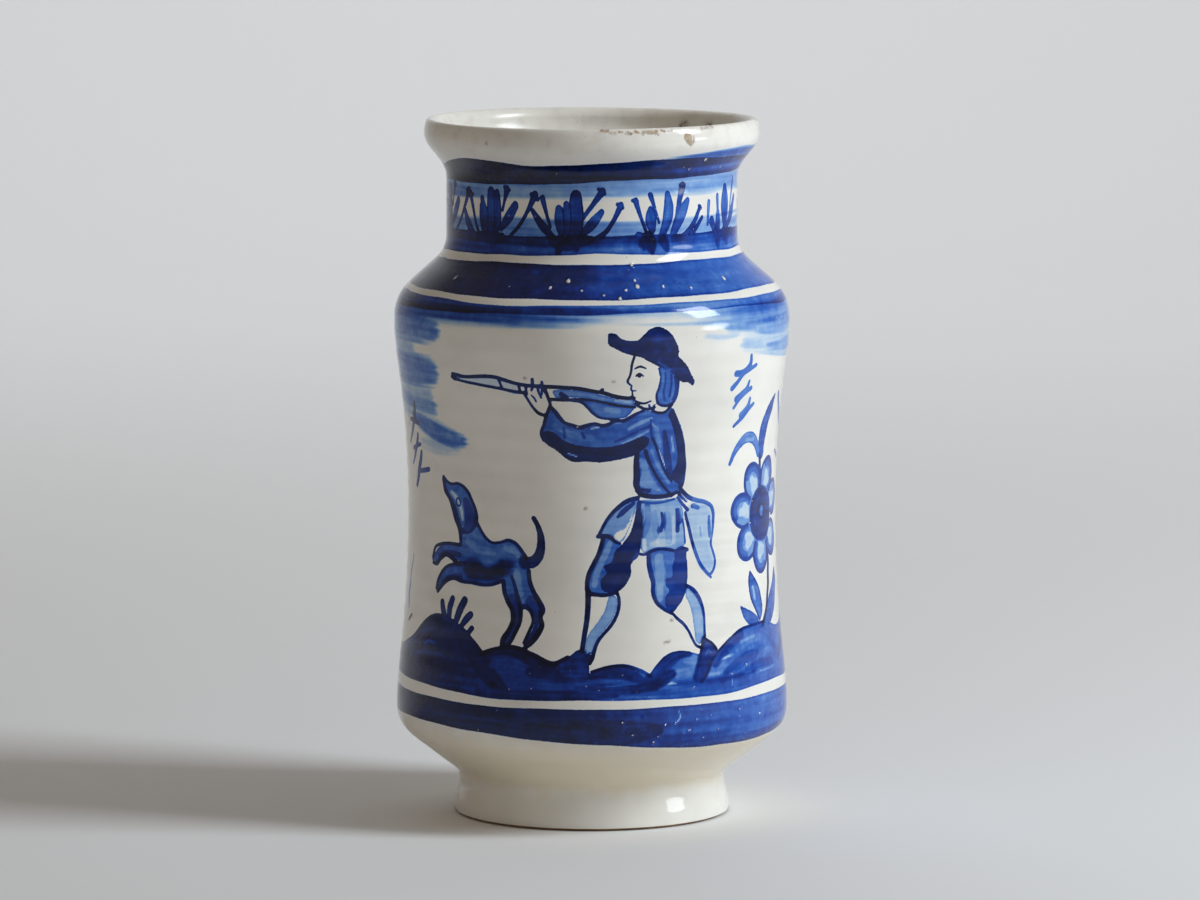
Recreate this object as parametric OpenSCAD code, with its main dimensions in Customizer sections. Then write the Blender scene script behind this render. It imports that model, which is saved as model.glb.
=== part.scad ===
// Albarello: a waisted drug jar of tin-glazed earthenware with painted cobalt bands.
// The wheel-thrown clay wall carries one glaze coat outside, one inside and one under the foot.
// The cobalt lies in the outer coat as shallow inlaid rings, flush with the glaze.
// Millimetres, +Z up, origin at the centre of the ring that the jar stands on.

/* [Foot] */
// Widest diameter of the foot, close to the ground
foot_d = 94.6; // [88:0.2:104]
// Height at which the foot is widest
foot_flare_h = 3; // [2.2:0.1:5]
// Diameter of the foot where it meets the cone
foot_waist_d = 91.6; // [86:0.2:94]
// Height of the foot up to its corner with the cone
foot_h = 14.6; // [11:0.1:20]
// Length of the blend on each side of that corner
foot_fillet = 2.6; // [1:0.1:4]
// Rounding of the foot ring's two lower edges
foot_edge_r = 1.4; // [0.5:0.1:1.6]
// Thickness of the foot ring
foot_ring_w = 8; // [6:0.1:12]
// Depth of the turned recess under the floor
recess_depth = 6; // [5:0.1:8]
// Rounding between the recess wall and its ceiling
recess_fillet = 3; // [1.5:0.1:4]

/* [Body] */
// Height of the cone between the foot and the lower bulge
cone_h = 16.6; // [13:0.1:24]
// Diameter of the lower bulge
base_d = 134.8; // [124:0.2:150]
// Length of the rounding on each side of the lower bulge
base_round = 6.5; // [4:0.1:8]
// Height of the wall from the lower bulge's corner to the shoulder's corner
body_h = 147.8; // [110:0.2:190]
// Height of the waist above the lower bulge's corner
waist_up = 75.8; // [55:0.2:95]
// Diameter of the waist
waist_d = 126.7; // [112:0.1:134]
// Diameter of the shoulder
shoulder_d = 136.1; // [128:0.1:150]
// Length of the rounding on each side of the shoulder's corner
shoulder_round = 8; // [5:0.1:10]

/* [Neck and rim] */
// Height of the sloping shoulder
shoulder_h = 16.1; // [12:0.1:22]
// Diameter of the neck
neck_d = 100.1; // [92:0.1:108]
// Length of the blend between the slope and the neck
neck_fillet = 5.5; // [3:0.1:6]
// Height of the neck from the slope's corner to the start of the flare
neck_h = 25.2; // [20:0.1:40]
// Height of the flare from the neck to the lip's widest ring
flare_h = 15.7; // [11:0.1:20]
// Diameter of the lip at its widest ring
rim_d = 114.8; // [110:0.1:124]
// Diameter of the lip's crest
crest_d = 111.4; // [109:0.1:112]
// Height of the crest above the lip's widest ring
lip_round = 4; // [2.5:0.1:6]
// Thickness of the finished lip at its widest ring
lip_t = 5.2; // [4.4:0.1:6.5]

/* [Wall] */
// Thickness of the clay wall
wall_t = 6; // [4:0.1:8]
// Thickness of the clay floor above the recess
floor_t = 7; // [4:0.1:9]

/* [Glaze and paint] */
// Thickness of each glaze coat
glaze_t = 0.8; // [0.4:0.05:1.2]
// Height of the bare clay left at the bottom of the foot
bare_foot_h = 1.7; // [1.6:0.05:2.1]
// Depth of the cobalt in the outer coat
paint_depth = 0.3; // [0.15:0.05:0.35]
// Drop of the lip band's lower edge below the lip's widest ring
lip_band_drop = 14.6; // [13:0.1:16]
// Height of the lip band
lip_band_h = 6.9; // [4:0.1:8]
// Height of the pale wash under the lip band
upper_wash_h = 5.2; // [3:0.1:6]
// Height of the white ground between the two washes on the neck
neck_white_h = 5.2; // [3:0.1:7]
// Height of the neck band's lower edge above the slope's corner
neck_band_up = 2.2; // [1.5:0.1:4]
// Height of the dark band at the bottom of the neck
neck_band_h = 6.3; // [4:0.1:7]
// Height of the white collar between the neck band and the shoulder band
collar_white_h = 3; // [2:0.1:4]
// Height of the shoulder band's lower edge above the shoulder's corner
shoulder_band_up = 4.1; // [3:0.1:6]
// Height of the white line under the shoulder band
shoulder_line_h = 1.6; // [1:0.1:2.5]
// Height of the band round the shoulder
corner_band_h = 8; // [5:0.1:12]
// Height of the base band's lower edge above the lower bulge's corner
base_band_up = 0.2; // [0:0.1:3]
// Height of the base band
base_band_h = 13.4; // [9:0.1:18]
// Height of the white line above the base band
base_line_h = 3.3; // [2:0.1:6]
// Height of the ground band that the painted hills grow from
ground_band_h = 8; // [4:0.1:12]

/* [Hidden] */

$fn = 96;
curve_steps = 7;   // straight pieces that follow one curved stretch of the wall
arc_steps = 6;     // straight pieces in a quarter turn

clay_colour = "#c9a57c";
glaze_colour = "#f0ece2";
dark_cobalt = "#141f57";
mid_cobalt = "#2746a3";
pale_cobalt = "#86a8de";

foot_r = foot_d / 2;
foot_waist_r = foot_waist_d / 2;
base_r = base_d / 2;
waist_r = waist_d / 2;
shoulder_r = shoulder_d / 2;
neck_r = neck_d / 2;
rim_r = rim_d / 2;
crest_r = crest_d / 2;

base_z = foot_h + cone_h;
waist_z = base_z + waist_up;
shoulder_z = base_z + body_h;
neck_z = shoulder_z + shoulder_h;
flare_z = neck_z + neck_h;
lip_z = flare_z + flare_h;

jar_t = wall_t + 2 * glaze_t;                      // clay and both coats
mouth_r = rim_r - lip_t;                           // finished inside of the lip
throat_r = neck_r - jar_t;                         // finished inside of the neck
floor_z = recess_depth + floor_t + glaze_t;        // finished floor inside the jar
ring_in_r = foot_r - glaze_t - foot_ring_w;        // inner wall of the foot ring

cone_slope = (base_r - foot_waist_r) / cone_h;
cone_rise = 1 / sqrt(1 + cone_slope * cone_slope);           // height gained per length of cone
shoulder_slope = (neck_r - shoulder_r) / shoulder_h;
shoulder_rise = 1 / sqrt(1 + shoulder_slope * shoulder_slope);

// The wall comes in by half its waisting a little above or below a bulge, and is steepest there
flank_place = 0.37;
flank_steepness = 1.6;

// A station is [height, radius, slope], where slope is the radius gained per height
function on_line(z, corner_z, corner_r, slope) = [z, corner_r + (z - corner_z) * slope, slope];

function flank(bulge_z, bulge_r) = [
    bulge_z + flank_place * (waist_z - bulge_z),
    (bulge_r + waist_r) / 2,
    flank_steepness * (waist_r - bulge_r) / (waist_z - bulge_z)
];

base_top_z = base_z + base_round;
shoulder_low_z = shoulder_z - shoulder_round;

stations = [
    [foot_flare_h, foot_r, 0],
    [foot_h - foot_fillet, foot_waist_r, 0],
    on_line(foot_h + foot_fillet * cone_rise, foot_h, foot_waist_r, cone_slope),
    on_line(base_z - base_round * cone_rise, base_z, base_r, cone_slope),
    [base_top_z, base_r, 0],
    flank(base_top_z, base_r),
    [waist_z, waist_r, 0],
    flank(shoulder_low_z, shoulder_r),
    [shoulder_low_z, shoulder_r, 0],
    on_line(shoulder_z + shoulder_round * shoulder_rise, shoulder_z, shoulder_r, shoulder_slope),
    on_line(neck_z - neck_fillet * shoulder_rise, neck_z, neck_r, shoulder_slope),
    [neck_z + neck_fillet, neck_r, 0],
    [flare_z, neck_r, 0],
    [lip_z, rim_r, 0]
];
first_station = stations[0];
cone_start = stations[2];
last_segment = len(stations) - 2;

// Painted rings as [lowest height, highest height]
neck_band_zone = [neck_z + neck_band_up, neck_z + neck_band_up + neck_band_h];
lip_band_zone = [lip_z - lip_band_drop, lip_z - lip_band_drop + lip_band_h];
upper_wash_zone = [lip_band_zone[0] - upper_wash_h, lip_band_zone[0]];
lower_wash_zone = [neck_band_zone[1], upper_wash_zone[0] - neck_white_h];
shoulder_band_zone = [shoulder_z + shoulder_band_up, neck_band_zone[0] - collar_white_h];
corner_band_top = shoulder_band_zone[0] - shoulder_line_h;
corner_band_zone = [corner_band_top - corner_band_h, corner_band_top];
base_band_zone = [base_z + base_band_up, base_z + base_band_up + base_band_h];
ground_band_zone = [base_band_zone[1] + base_line_h, base_band_zone[1] + base_line_h + ground_band_h];
bands = [base_band_zone, ground_band_zone, corner_band_zone, shoulder_band_zone,
         neck_band_zone, lower_wash_zone, upper_wash_zone, lip_band_zone];

function reverse(list) = [for (i = [len(list) - 1 : -1 : 0]) list[i]];

function sorted(list) = len(list) < 2 ? list : let (pivot = list[0]) concat(
    sorted([for (v = list) if (v < pivot) v]),
    [pivot],
    sorted([for (v = list) if (v > pivot) v])
);

// Radius and slope of the finished outside at a height: a cubic between the two stations round it
function segment(z) = [for (i = [0 : last_segment]) if (i == last_segment || z <= stations[i + 1][0]) i][0];

function cubic_r(a, b, z) = let (h = b[0] - a[0], t = (z - a[0]) / h)
    (1 + 2 * t) * pow(1 - t, 2) * a[1] + t * pow(1 - t, 2) * h * a[2]
    + t * t * (3 - 2 * t) * b[1] + t * t * (t - 1) * h * b[2];

function cubic_slope(a, b, z) = let (h = b[0] - a[0], t = (z - a[0]) / h)
    6 * t * (t - 1) * (a[1] - b[1]) / h + (1 - t) * (1 - 3 * t) * a[2] + t * (3 * t - 2) * b[2];

function wall_r(z) = z <= first_station[0] ? first_station[1]
    : let (i = segment(z)) cubic_r(stations[i], stations[i + 1], z);

function wall_slope(z) = z <= first_station[0] ? 0
    : let (i = segment(z)) cubic_slope(stations[i], stations[i + 1], z);

// Point of the wall that lies a depth below the finished outside, measured square to it
function skin(z, depth) = let (slope = wall_slope(z), square = sqrt(1 + slope * slope))
    [wall_r(z) - depth / square, z + depth * slope / square];

// Heights at which the wall is drawn: along every stretch, and at each edge of the paint
function is_straight(a, b) = abs(a[1] + a[2] * (b[0] - a[0]) - b[1]) < 0.001 && a[2] == b[2];

function stretch_heights(a, b) = let (steps = is_straight(a, b) ? 1 : curve_steps)
    [for (k = [0 : steps - 1]) a[0] + (b[0] - a[0]) * k / steps];

heights = sorted(concat(
    [bare_foot_h, lip_z],
    [for (i = [0 : last_segment]) each stretch_heights(stations[i], stations[i + 1])],
    [for (band = bands) each band]
));

function heights_between(low, high) = [for (z = heights) if (z >= low && z <= high) z];

// Quarter ellipse from the lip's widest ring to its crest, on the outer or the inner side
function lip_arc(half_width, side, depth) = [for (k = [1 : arc_steps]) let (a = 90 * k / arc_steps)
    [crest_r + side * (half_width - depth) * cos(a), lip_z + (lip_round - depth) * sin(a)]];

function outside(depth, low) = concat(
    [for (z = heights_between(low, lip_z)) skin(z, depth)],
    lip_arc(rim_r - crest_r, 1, depth)
);

// The outer coat's face steps in by the paint's depth along each painted ring
function depth_at(z) = len([for (band = bands) if (z > band[0] && z < band[1]) 1]) > 0 ? paint_depth : 0;

function painted_face() = let (
    zs = heights_between(bare_foot_h, lip_z),
    depths = [for (i = [0 : len(zs) - 2]) depth_at((zs[i] + zs[i + 1]) / 2)]
) [
    skin(zs[0], depths[0]),
    for (i = [0 : len(depths) - 1]) each concat(
        i > 0 && depths[i] != depths[i - 1] ? [skin(zs[i], depths[i])] : [],
        [skin(zs[i + 1], depths[i])]
    )
];

// Curve from the flat floor into the inside of the cone
function floor_curve(depth) = let (
    end = skin(cone_start[0], jar_t - depth),
    z = floor_z - depth,
    corner = [end[0] - (end[1] - z) * cone_slope, z],
    start = [corner[0] - norm(end - corner), z]
) [for (k = [0 : curve_steps - 1]) let (t = k / curve_steps)
    pow(1 - t, 2) * start + 2 * t * (1 - t) * corner + t * t * end];

function mouth_funnel(depth) = [for (k = [1 : curve_steps]) let (z = flare_z + flare_h * k / curve_steps)
    [cubic_r([flare_z, throat_r, 0], [lip_z, mouth_r, 0], z) + depth, z]];

// Finished inside of the jar, or a depth behind it, from the middle of the floor to the crest
function inside(depth) = concat(
    [[0, floor_z - depth]],
    floor_curve(depth),
    [for (z = heights_between(cone_start[0], flare_z)) skin(z, jar_t - depth)],
    mouth_funnel(depth),
    lip_arc(crest_r - mouth_r, -1, depth)
);

// Turned recess under the floor, or a depth below its face, from the foot ring to the middle
function recess(depth, low) = concat(
    [[ring_in_r - depth, low]],
    [for (k = [0 : arc_steps]) let (a = 90 * k / arc_steps, r = recess_fillet - depth)
        [ring_in_r - recess_fillet + r * cos(a), recess_depth - recess_fillet + r * sin(a)]],
    [[0, recess_depth - depth]]
);

// Rounded lower edge of the foot ring: from the standing face to a wall, on the outer or inner side
function foot_edge(wall, side) = [for (k = [0 : arc_steps]) let (a = 90 * k / arc_steps)
    [wall - side * foot_edge_r * (1 - sin(a)), foot_edge_r * (1 - cos(a))]];

module turned(points) {
    rotate_extrude() polygon(points);
}

module clay_body() {
    color(clay_colour) turned(concat(
        foot_edge(foot_r - glaze_t, 1),
        outside(glaze_t, bare_foot_h),
        reverse(inside(glaze_t)),
        reverse(recess(0, foot_edge_r)),
        [for (p = reverse(foot_edge(ring_in_r, -1))) if (p[1] < foot_edge_r) p]
    ));
}

module outer_glaze() {
    color(glaze_colour) turned(concat(
        painted_face(),
        lip_arc(rim_r - crest_r, 1, 0),
        reverse(outside(glaze_t, bare_foot_h))
    ));
}

module inner_glaze() {
    color(glaze_colour) turned(concat(inside(0), reverse(inside(glaze_t))));
}

module underside_glaze() {
    color(glaze_colour) turned(concat(recess(glaze_t, bare_foot_h), reverse(recess(0, bare_foot_h))));
}

module painted_ring(zone, colour) {
    zs = heights_between(zone[0], zone[1]);
    color(colour) turned(concat(
        [for (z = zs) skin(z, 0)],
        [for (z = reverse(zs)) skin(z, paint_depth)]
    ));
}

module lip_band() { painted_ring(lip_band_zone, dark_cobalt); }
module neck_upper_wash() { painted_ring(upper_wash_zone, pale_cobalt); }
module neck_lower_wash() { painted_ring(lower_wash_zone, pale_cobalt); }
module neck_band() { painted_ring(neck_band_zone, dark_cobalt); }
module shoulder_band() { painted_ring(shoulder_band_zone, mid_cobalt); }
module corner_band() { painted_ring(corner_band_zone, mid_cobalt); }
module ground_band() { painted_ring(ground_band_zone, dark_cobalt); }
module base_band() { painted_ring(base_band_zone, mid_cobalt); }

clay_body();
outer_glaze();
inner_glaze();
underside_glaze();
lip_band();
neck_upper_wash();
neck_lower_wash();
neck_band();
shoulder_band();
corner_band();
ground_band();
base_band();
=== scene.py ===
import bpy
import numpy as np
from math import radians
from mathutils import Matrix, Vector


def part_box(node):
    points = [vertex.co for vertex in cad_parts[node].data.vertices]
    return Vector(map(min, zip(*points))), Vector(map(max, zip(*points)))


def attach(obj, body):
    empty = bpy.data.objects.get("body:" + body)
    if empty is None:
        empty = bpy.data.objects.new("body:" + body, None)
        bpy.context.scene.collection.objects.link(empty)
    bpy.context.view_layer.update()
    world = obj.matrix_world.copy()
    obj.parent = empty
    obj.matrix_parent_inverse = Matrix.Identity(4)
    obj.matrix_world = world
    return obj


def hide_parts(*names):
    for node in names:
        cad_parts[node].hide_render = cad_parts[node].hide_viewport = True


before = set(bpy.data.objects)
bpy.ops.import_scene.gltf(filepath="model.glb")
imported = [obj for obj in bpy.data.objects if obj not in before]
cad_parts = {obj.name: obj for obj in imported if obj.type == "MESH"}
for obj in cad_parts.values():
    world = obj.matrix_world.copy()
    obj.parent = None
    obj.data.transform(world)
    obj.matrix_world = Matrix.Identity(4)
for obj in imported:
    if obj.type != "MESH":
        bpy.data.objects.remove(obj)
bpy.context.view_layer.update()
print("frame loaded:", len(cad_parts), "nodes")

# The painting is laid out flat: u runs round the jar, in mm on a cylinder of flatRadius with 0 at the
# front and plus to the right, and z is the height in mm.
flatRadius = 65.0
halfTurn = np.pi * flatRadius
fullTurn = 2 * halfTurn
# mm between the columns of the grid, fine up to fineHalf each side of the front, and between its rows
grid = {"fine": 0.5, "coarse": 1.1, "fineHalf": 98.0, "row": 0.5}


def hermite(x, knots, values):
    # cubic through the values at the knots, with the slope at each knot from its neighbours
    slopes = np.gradient(values, knots, axis=0)
    i = np.clip(np.searchsorted(knots, x, side="right") - 1, 0, len(knots) - 2)
    width = knots[i + 1] - knots[i]
    t = (x - knots[i]) / width
    if values.ndim > 1:
        t, width = t[:, None], width[:, None]
    low = (1 + 2 * t) * (1 - t) ** 2 * values[i] + t * (1 - t) ** 2 * width * slopes[i]
    return low + t * t * (3 - 2 * t) * values[i + 1] + t * t * (t - 1) * width * slopes[i + 1]


def lengthAlong(path):
    # length from the start of a path to each of its points
    return np.r_[0, np.cumsum(np.hypot(*np.diff(path[:, :2], axis=0).T))]


def wayAlong(path):
    # unit vector along a path at each of its points
    along = np.gradient(path[:, :2], axis=0)
    return along / np.hypot(*along.T)[:, None]


def curveThrough(points, step, closed=False):
    # one smooth curve through the points, with samples a step apart by length
    points = np.array(points, float)
    if closed:
        points = np.concatenate([points[-3:], points, points[:3]])
    way = lengthAlong(points)
    start, end = (way[3], way[-3]) if closed else (0, way[-1])
    return hermite(np.linspace(start, end, max(3, int((end - start) / step) + 2)), way, points)


def aroundRim(u, points):
    # a value that changes smoothly round the jar and joins up at the back
    points = np.array(sorted(points), float)
    points = np.concatenate([points[-3:] - (fullTurn, 0), points, points[:3] + (fullTurn, 0)])
    return hermite(u, points[:, 0], points[:, 1])


def smoothStep(low, high, x):
    # 0 below low, 1 above high, eased between
    t = np.clip((x - low) / (high - low), 0, 1)
    return t * t * (3 - 2 * t)


latticeNoise = np.random.default_rng(11).random((64, 64))


def grain(a, b):
    # smooth noise from 0 to 1 on a lattice of unit cells
    rows, columns = latticeNoise.shape
    i, j = np.floor(a).astype(int), np.floor(b).astype(int)
    s, t = smoothStep(0, 1, a - i), smoothStep(0, 1, b - j)
    i0, j0, i1, j1 = i % rows, j % columns, (i + 1) % rows, (j + 1) % columns
    low = latticeNoise[i0, j0] * (1 - t) + latticeNoise[i0, j1] * t
    return low * (1 - s) + (latticeNoise[i1, j0] * (1 - t) + latticeNoise[i1, j1] * t) * s


# mm: samples along a stroke and round a patch, how far past its edge a shape is worked out, the spacing of
# the hairs across the brush and the length of their marks, and how edges soak in, wipe off and overlap
brush = {"strokeStep": 0.35, "patchStep": 0.5, "reach": 2.5, "hair": 0.8, "mark": 14, "washMark": 40,
         "bristle": 0.3, "strayStroke": 2.4, "strayPatch": 0.6, "soak": (-1.8, 1.6), "wipe": (-0.25, 0.25),
         "overlap": (-0.9, 0)}


def isStroke(points):
    # points with a width are a stroke, and points without are the outline of a patch
    return len(points[0]) == 3


def brushFields(coat, points):
    # yields where a shape falls on the grid, its u there, how far inside its edge each point lies, in mm,
    # and the offset across the brush
    stroke = isStroke(points)
    path = curveThrough(points, brush["strokeStep" if stroke else "patchStep"], not stroke)
    reach = (path[:, 2].max() / 2 if stroke else 0) + brush["reach"]
    rows = slice(*np.searchsorted(coat["z"], (path[:, 1].min() - reach, path[:, 1].max() + reach)))
    for turn in (-fullTurn, 0, fullTurn):
        low, high = path[:, 0].min() + turn, path[:, 0].max() + turn
        columns = slice(*np.searchsorted(coat["u"], (low - reach, high + reach)))
        u, z = coat["u"][columns] - turn, coat["z"][rows]
        if not len(u) or not len(z):
            continue
        here = rows, columns
        across = u[None, :, None] - path[:, 0]
        up = z[:, None, None] - path[:, 1]
        away = np.hypot(across, up)
        if stroke:
            inside = path[:, 2] / 2 - away
            nearest = inside.argmax(2)[..., None]
            along = wayAlong(path)
            offset = up * along[:, 0] - across * along[:, 1]
            yield here, u, inside.max(2), np.take_along_axis(offset, nearest, 2)[..., 0]
        else:
            ends = np.roll(path, -1, 0)
            spans = (path[:, 1] > z[:, None]) != (ends[:, 1] > z[:, None])
            rise = np.where(ends[:, 1] == path[:, 1], 1e-9, ends[:, 1] - path[:, 1])
            crossing = path[:, 0] + (ends[:, 0] - path[:, 0]) * (z[:, None] - path[:, 1]) / rise
            inner = (spans[:, None] & (u[None, :, None] < crossing[:, None])).sum(2) % 2
            yield here, u, away.min(2) * (2 * inner - 1), z[:, None] + 0 * u


def layOn(coat, layer, tone, points):
    # one brush shape: wash has soft edges, fill and line have crisp ones, lift takes paint off again
    for here, u, inside, offset in brushFields(coat, points):
        hair, start = offset / brush["hair"], points[0][1]
        bristle = 1 + brush["bristle"] * (grain(hair + 7 * tone, u / brush["mark"] + start) - 0.5)
        if layer == "wash":
            stray = brush["strayStroke" if isStroke(points) else "strayPatch"]
            edge = inside + stray * (grain(hair + 9 * tone, u / brush["washMark"] + start) - 0.5)
            cover = smoothStep(*brush["soak"], edge) * bristle
            coat["wash"][here] = np.maximum(coat["wash"][here], tone * cover)
        elif layer == "lift":
            keep = 1 - tone * smoothStep(*brush["wipe"], inside)
            for key in ("wash", "fillTone", "lineTone"):
                coat[key][here] *= keep
        else:
            depth, under = coat[layer][here], coat[layer + "Tone"][here]
            over = np.where(depth > -1, smoothStep(*brush["overlap"], inside), inside > depth)
            coat[layer + "Tone"][here] = under + over * (tone * bristle - under)
            coat[layer][here] = np.maximum(depth, inside)


def paintMotif(coat, motif, shift=0.0, mirror=1, thick=1.0):
    # layers from the bottom up; a slit is a lift made after the lines
    for layer in ("wash", "fill", "lift", "line", "slit"):
        for tone, points in motif.get(layer, []):
            moved = [(shift + mirror * p[0], p[1], *(thick * w for w in p[2:])) for p in points]
            layOn(coat, "lift" if layer == "slit" else layer, tone, moved)


# Belts run all round: edges and tones are given at a few places and joined smoothly. A belt with a soft edge
# is a wash, and fade is how far up it thins out. Tones darker on the left of the front and lighter on its
# right are partly the brushwork's own and partly painted shade and light from the side.
belts = {
    "lip": {
        "low": [(-200, 221), (-150, 221.6), (-120, 220.4), (-90, 219.8), (-60, 220.2), (-30, 220.7),
                (0, 221.8), (23, 222.4), (50, 222.4), (75, 222.9), (95, 223.5), (150, 222)],
        "high": [(-200, 228.6), (-140, 227), (-90, 224.8), (-72, 227.4), (-54, 228.8), (-40, 228.3),
                 (-25, 227.2), (-8, 227.7), (14, 228.8), (35, 229.2), (48, 229.3), (62, 228.8), (80, 228.4),
                 (130, 229)],
        "tone": [(-200, 1.5), (-90, 1.8), (0, 1.9), (20, 1.55), (40, 1.05), (70, 0.78), (130, 1.3)],
        "streak": 0.4,
    },
    "lipWash": {
        "low": [(-200, 226), (0, 226), (100, 226)],
        "high": [(-200, 227), (20, 228.4), (45, 230.8), (60, 231.5), (80, 231.9), (100, 231.4), (140, 228)],
        "tone": [(-200, 0), (-90, 0), (28, 0.1), (44, 0.5), (70, 0.6), (100, 0.5), (140, 0.1), (170, 0)],
        "streak": 0.6, "soft": 0.5,
    },
    "upperWash": {
        "low": [(-200, 215.5), (-90, 214.6), (-30, 215.4), (0, 216.2), (60, 216.4), (140, 215.6)],
        "high": [(-200, 224), (0, 224), (100, 224)],
        "tone": [(-200, 0.36), (-60, 0.42), (0, 0.36), (60, 0.31)],
        "streak": 0.6, "soft": 0.8,
    },
    "lowerWash": {
        "low": [(-200, 201), (0, 201), (100, 201)],
        "high": [(-200, 208.4), (-90, 207.4), (-30, 208.4), (0, 208.7), (40, 208.9), (90, 208.2)],
        "tone": [(-200, 0.4), (-60, 0.45), (0, 0.33), (20, 0.28), (60, 0.3)],
        "streak": 0.6, "soft": 1.4,
    },
    "neck": {
        "low": [(-200, 196.6), (-90, 195.6), (-62, 196.3), (-30, 196.6), (2, 197.5), (23, 197),
                (90, 196.6)],
        "high": [(-200, 203.6), (-120, 203), (-60, 203.4), (-20, 203), (20, 203.6), (60, 203.3),
                 (130, 203.8)],
        "tone": [(-200, 0.8), (-60, 1.1), (-15, 0.85), (5, 0.7), (50, 0.62), (110, 0.7)],
        "streak": 0.5,
    },
    "neckShade": {
        "low": [(-200, 199.9), (0, 200.2), (100, 199.8)],
        "high": [(-200, 204.2), (0, 203.9), (100, 204)],
        "tone": [(-200, 0.5), (-60, 0.5), (-10, 0.55), (20, 0.45), (50, 0.3), (110, 0.45)],
        "streak": 0.5, "soft": 0.7,
    },
    "shoulder": {
        "low": [(-200, 183.4), (-90, 183.9), (-50, 183.4), (0, 183.1), (40, 183.6), (70, 184.1),
                (130, 183.4)],
        "high": [(-200, 193.8), (-90, 192.9), (-30, 194.1), (0, 193.8), (40, 194.3), (100, 194)],
        "tone": [(-200, 1.0), (-60, 1.7), (-20, 1.6), (-5, 1.4), (4, 1.1), (16, 0.98), (34, 0.82),
                 (52, 0.68), (80, 0.66), (110, 0.8)],
        "streak": 0.15,
    },
    "corner": {
        "low": [(-200, 178), (-90, 177), (-40, 178), (0, 178.4), (25, 178.8), (55, 179), (90, 178),
                (140, 178)],
        "high": [(-200, 181.8), (-90, 182), (-60, 181.6), (-38, 180.9), (0, 181.4), (60, 181.7),
                 (120, 181.4)],
        "tone": [(-200, 0.7), (-60, 0.9), (-30, 0.7), (0, 0.55), (40, 0.48), (110, 0.6)],
        "streak": 0.4,
    },
    "cornerShade": {
        "low": [(-200, 178.2), (0, 178.4), (100, 178.4)],
        "high": [(-200, 180.2), (0, 180.3), (100, 180.2)],
        "tone": [(-200, 0.3), (-75, 0.3), (-45, 0.6), (0, 0.55), (28, 0.4), (48, 0.05), (110, 0.25)],
        "streak": 0.5, "soft": 0.7,
    },
    "cornerWash": {
        "low": [(-200, 172), (-90, 168.5), (-50, 171), (-15, 172.2), (10, 174.6), (28, 173), (45, 170.8),
                (62, 169), (90, 167.4), (140, 171)],
        "high": [(-200, 180), (0, 180), (100, 180)],
        "tone": [(-200, 0.5), (-60, 0.72), (-10, 0.62), (12, 0.44), (28, 0.28), (55, 0.42), (120, 0.5)],
        "streak": 0.8, "soft": 1.1, "fade": 6.5,
    },
    "hills": {
        "low": [(-200, 48.4), (-150, 48.9), (-92, 50), (-72, 49.2), (-50, 48.4), (-29, 47.3), (0, 48.1),
                (24, 47.6), (50, 47.9), (75, 49.2), (110, 48.7), (150, 47.9)],
        "high": [(-200, 66), (-185, 62), (-165, 60), (-150, 64), (-132, 69), (-118, 66), (-104, 60.5),
                 (-92, 60), (-85, 61.7), (-78, 64.8), (-72, 69), (-66, 72.6), (-60, 73.8), (-55, 73),
                 (-50, 70.9), (-45, 68.3), (-42, 65.2), (-39.5, 62.3), (-36, 63), (-31, 65), (-26, 65.1),
                 (-20, 62.8), (-14, 59.7), (-11, 60.4), (-7, 62.9), (-4, 64.6), (-2, 62.4), (-0.8, 57.2),
                 (3, 58), (9, 59.8), (14, 59), (20, 56.2), (23, 58), (27, 62.2), (31, 63.6), (35, 62.8),
                 (40, 61.6), (46, 62.6), (51, 65.4), (56, 68), (64, 69.2), (71, 69.8), (78, 68.8), (84, 67),
                 (90, 67), (100, 70.6), (112, 69), (124, 62), (134, 60), (148, 64), (164, 69), (180, 68)],
        "tone": [(-200, 1.1), (-92, 1.6), (-60, 1.65), (-42, 1.45), (-35, 1.2), (-15, 1.2), (-3, 1.1),
                 (4, 0.8), (19, 0.76), (30, 0.68), (44, 0.66), (60, 0.7), (90, 0.75), (140, 1.0)],
        "streak": 0.25,
    },
    "base": {
        "low": [(-200, 35), (-150, 36), (-85, 36.6), (-60, 36.6), (-40, 35.5), (-20, 34.2), (0, 33),
                (20, 31.4), (40, 30.4), (60, 30.2), (90, 31.6), (140, 33.6)],
        "high": [(-200, 45.2), (-90, 45.4), (-30, 44.7), (0, 44.9), (40, 45.1), (90, 45.3)],
        "tone": [(-200, 1.1), (-60, 1.7), (-20, 1.55), (0, 1.4), (20, 1.1), (40, 0.88), (58, 0.78),
                 (100, 0.8)],
        "streak": 0.4,
    },
}
# mm that a belt's edge wanders with the times round the jar, the lag of its upper edge in columns, and the
# spacing and length of its streaks
ringBrush = {"sway": (0.14, 9), "quiver": (0.07, 19), "upper": 0.8, "lag": 37, "hair": 1.3, "mark": 38,
             "turning": 110}


def outAndBack(u):
    # length round the jar for noise that joins up: it grows from one side to the other and shrinks again
    return np.abs((u - ringBrush["turning"] + halfTurn) % fullTurn - halfTurn)


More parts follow.
